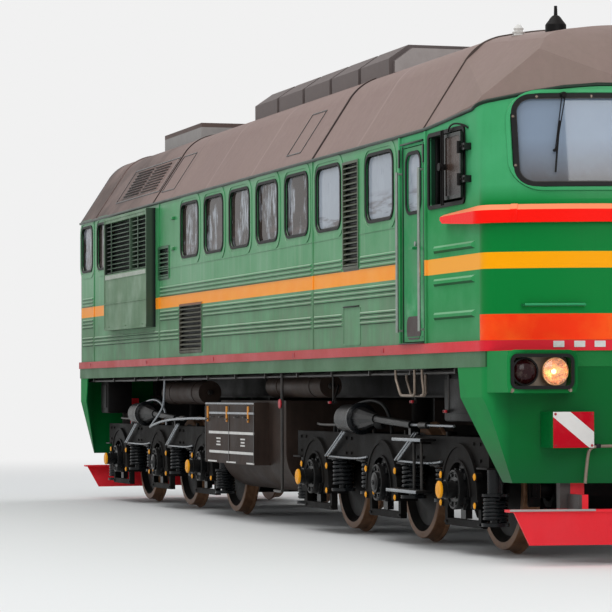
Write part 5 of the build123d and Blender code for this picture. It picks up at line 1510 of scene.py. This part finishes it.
for x0, x1, z, radius in ((-4.18, -2.42, 1.388, 0.135), (0.30, 2.25, 1.448, 0.115)):
    strap = [(radius + out, h) for out, h in ((-0.004, -0.02), (0.006, -0.02), (0.006, 0.02), (-0.004, 0.02))]
    for share in (0.2, 0.8):
        add_turned(bm, strap, lying(x0 + (x1 - x0) * share, TANK_Y, z), 32, 2)
    add_turned(bm, TANK_PLUG, lying(x1, TANK_Y, z), 16)
for x0, x1 in ((6.1, 6.86), (-7.3, -6.9)):
    add_box(bm, (x0, -1.3, 1.13), (x1, -0.98, 1.585), 0.02, 3)
    add_box(bm, (x0 + 0.05, -1.312, 1.2), (x1 - 0.05, -1.296, 1.5), 0.008, 3)
add_tube(bm, TANK_FEED, 0.014, 4)
finish_piece("sill_pipes", bm, "body", [pipe_steel, red_paint, tank_brown, bogie_black, bright_rod])

# %% Steps under the cab door
STIRRUP = ((5.283, 1.575), (5.29, 1.5), (5.4, 1.372), (5.44, 1.352), (5.765, 1.35), (5.8, 1.372),
           (5.8, 1.575))
HOOK = ((5.997, 1.575), (6.0, 1.5), (6.037, 1.4), (6.03, 1.36), (5.97, 1.35))
bm = bmesh.new()
add_box(bm, (5.18, -1.44, 1.568), (6.04, -1.25, 1.582), 0.003)
add_box(bm, (5.44, -1.46, 1.35), (5.78, -1.36, 1.362), 0.004, 2)
for y, line in ((-1.46, STIRRUP), (-1.36, STIRRUP), (-1.46, HOOK)):
    add_tube(bm, [(x, y, z) for x, z in line], 0.012, 1, order=2)
finish_piece("cab_step_irons", bm, "body", [frame_black, tan_rod, pipe_steel])

# %% [markdown]
# ## Front end: release levers and the guard's edge
# A lever under each buffer beam releases the coupler from the side; it is a bent round bar, so one tube
# follows its bends. The rail guard's top edge is painted white.

# %% Front end fittings
LEVER_X = 8.075
bm = bmesh.new()
add_tube(bm, [(LEVER_X - 0.03, -0.30, 0.93), (LEVER_X, -0.34, 0.946), (LEVER_X, -0.72, 0.946),
              (LEVER_X, -0.765, 0.93), (LEVER_X, -0.79, 0.88), (LEVER_X, -0.812, 0.65)], 0.013, 0)
for y in (-0.42, -0.7):
    add_box(bm, (7.9, y - 0.02, 0.93), (LEVER_X + 0.016, y + 0.02, 0.962), 0.004, 1)
edge = Matrix.Translation((8.075, -1.09, 0.445)) @ Matrix.Rotation(math.radians(81.6), 4, "Z")
add_box(bm, (-0.345, -0.028, -0.012), (0.345, 0.004, 0.004), 0.002, 2, edge)
finish_piece("front_end_fittings", bm, "body", [tan_rod, spring_black, pale_paint])

# %% [markdown]
# ## Cab seats
# Each seat is a sprung pad in black imitation leather on a steel pedestal. A filled pad is thickest in the
# middle and tucked in along its welt. A cloth simulation could fill it, but the seats are hardly seen
# through the glass, so the pad is shaped: a grid raised to a crown, joined to its mirror image.


# %% Pads
def add_pad(bm, place, width, depth, thick, crown):
    """Add a stuffed pad: a grid raised to a crown, and its mirror image joined to it along the welt."""
    pad = bmesh.new()
    made = bmesh.ops.create_grid(pad, x_segments=PAD_GRID, y_segments=PAD_GRID, size=0.5)
    for vert in made["verts"]:
        u, v = vert.co.x * 2, vert.co.y * 2
        full = (1 - u ** 4) * (1 - v ** 4)
        shrink = 1 - 0.04 * (abs(u * v)) ** 3
        rise = thick * 0.5 * full ** 0.35 + crown * full
        vert.co = (vert.co.x * width * shrink, vert.co.y * depth * shrink, rise)
    bmesh.ops.mirror(pad, geom=pad.verts[:] + pad.edges[:] + pad.faces[:], axis="Z", merge_dist=0.0001)
    put(bm, as_mesh(pad), place)


PAD_GRID = 24
print("a pad has", 2 * PAD_GRID ** 2, "faces")

# %% Cab seats
SEAT_X, SEAT_Y, CAB_FLOOR = 6.48, 0.8, 1.81
SEAT_FOOT = [(0.0, 0.03), (0.05, 0.03), (0.16, 0.008), (0.16, 0.0), (0.0, 0.0)]
cushions, supports = bmesh.new(), bmesh.new()
for side in (-1, 1):
    y = side * SEAT_Y
    add_pad(cushions, Matrix.Translation((SEAT_X, y, 2.292)), 0.48, 0.45, 0.08, 0.008)
    lean = Matrix.Translation((SEAT_X - 0.235, y, 2.65)) @ Matrix.Rotation(math.radians(84), 4, "Y")
    add_pad(cushions, lean, 0.58, 0.42, 0.06, 0.008)
    add_bar(supports, (SEAT_X, y, CAB_FLOOR), (SEAT_X, y, 2.24), 0.045, 24)
    add_turned(supports, SEAT_FOOT, Matrix.Translation((SEAT_X, y, CAB_FLOOR)), 32)
    add_box(supports, (SEAT_X - 0.2, y - 0.18, 2.235), (SEAT_X + 0.2, y + 0.18, 2.252), 0.006)
    for s in (-1, 1):
        rail = ((0.16, 2.24), (0.27, 2.25), (0.285, 2.4), (0.275, 2.75))
        add_tube(supports, [(SEAT_X - back, y + s * 0.12, z) for back, z in rail], 0.012)
pads = finish_piece("seat_pads", cushions, "body", [rubber_black], ["cab_seats"],
                    mirrored=False, smooth=60)
finish_piece("seat_supports", supports, "body", [pipe_steel], mirrored=False)

# %% [markdown]
# ## Floor and light
# A plain pale floor at the height of the flange tips, and soft light as on a bright day with thin cloud: a
# large soft lamp high up to the right, weaker ones ahead and behind, and an even pale world. The floor fades
# into the world at a distance, so no horizon shows. The camera, mirrors and glass all see a plain
# near-white.

# %% Floor
BACKDROP, FLOOR_GREY = "f1f1f1", "e6e6e4"
FLOOR_RADIUS, FADE = 260, (10.0, 32.0)
bm = bmesh.new()
bmesh.ops.create_circle(bm, cap_ends=True, segments=96, radius=FLOOR_RADIUS)
floor = bpy.data.objects.new("studio_floor", as_mesh(bm, "studio_floor"))
floor_finish, tree, shader = new_material("studio_floor")
shader.inputs["Base Color"].default_value = linear(FLOOR_GREY)
shader.inputs["Roughness"].default_value = 0.9
spot = node(tree, "TexCoord").outputs["Object"]
far = node(tree, "VectorMath", {0: spot}, operation="LENGTH").outputs["Value"]
fade = node(tree, "MapRange", {"Value": far, "From Min": FADE[0], "From Max": FADE[1]},
            interpolation_type="SMOOTHSTEP")
backdrop = node(tree, "Emission", {"Color": linear(BACKDROP)})
blend = node(tree, "MixShader", {0: fade, 1: shader.outputs[0], 2: backdrop})
tree.links.new(blend.outputs[0], next(n for n in tree.nodes if n.type == "OUTPUT_MATERIAL").inputs["Surface"])
floor.data.materials.append(floor_finish)
bpy.context.scene.collection.objects.link(floor)
print("the floor fades from", FADE[0], "to", FADE[1], "m")

# %% World
DAYLIGHT, DAYLIGHT_STRENGTH = "e3e8ee", 0.62
world = bpy.data.worlds.new("studio_world")
bpy.context.scene.world = world
world.use_nodes = True
tree = world.node_tree
tree.nodes.clear()
rays = node(tree, "LightPath")
seen = node(tree, "Math", {0: rays.outputs["Is Camera Ray"], 1: rays.outputs["Is Glossy Ray"]},
            operation="ADD")
seen = node(tree, "Math", {0: seen, 1: rays.outputs["Is Transmission Ray"]}, operation="ADD", use_clamp=True)
lighting = node(tree, "Background", {"Color": linear(DAYLIGHT), "Strength": DAYLIGHT_STRENGTH})
backdrop = node(tree, "Background", {"Color": linear(BACKDROP), "Strength": 1.0})
node(tree, "OutputWorld", {"Surface": node(tree, "MixShader", {0: seen, 1: lighting, 2: backdrop})})
print("daylight", DAYLIGHT, "at", DAYLIGHT_STRENGTH)


# %% Soft lamps
def soft_lamp(name, spot, aim, size, watts):
    """A large square lamp that points at a spot."""
    data = bpy.data.lights.new(name, "AREA")
    data.shape = "SQUARE"
    data.size = size
    data.energy = watts
    lamp = bpy.data.objects.new(name, data)
    lamp.location = spot
    lamp.rotation_euler = (Vector(aim) - Vector(spot)).to_track_quat("-Z", "Y").to_euler()
    bpy.context.scene.collection.objects.link(lamp)
    print(name, size, "m,", watts, "W")


soft_lamp("ceiling_lamp", (6, -10, 22), (0, 0, 2), 18, 2900)
soft_lamp("front_lamp", (24, -2, 9), (6, 0, 2), 8, 880)
soft_lamp("back_lamp", (-14, 14, 14), (0, 0, 2), 12, 1300)
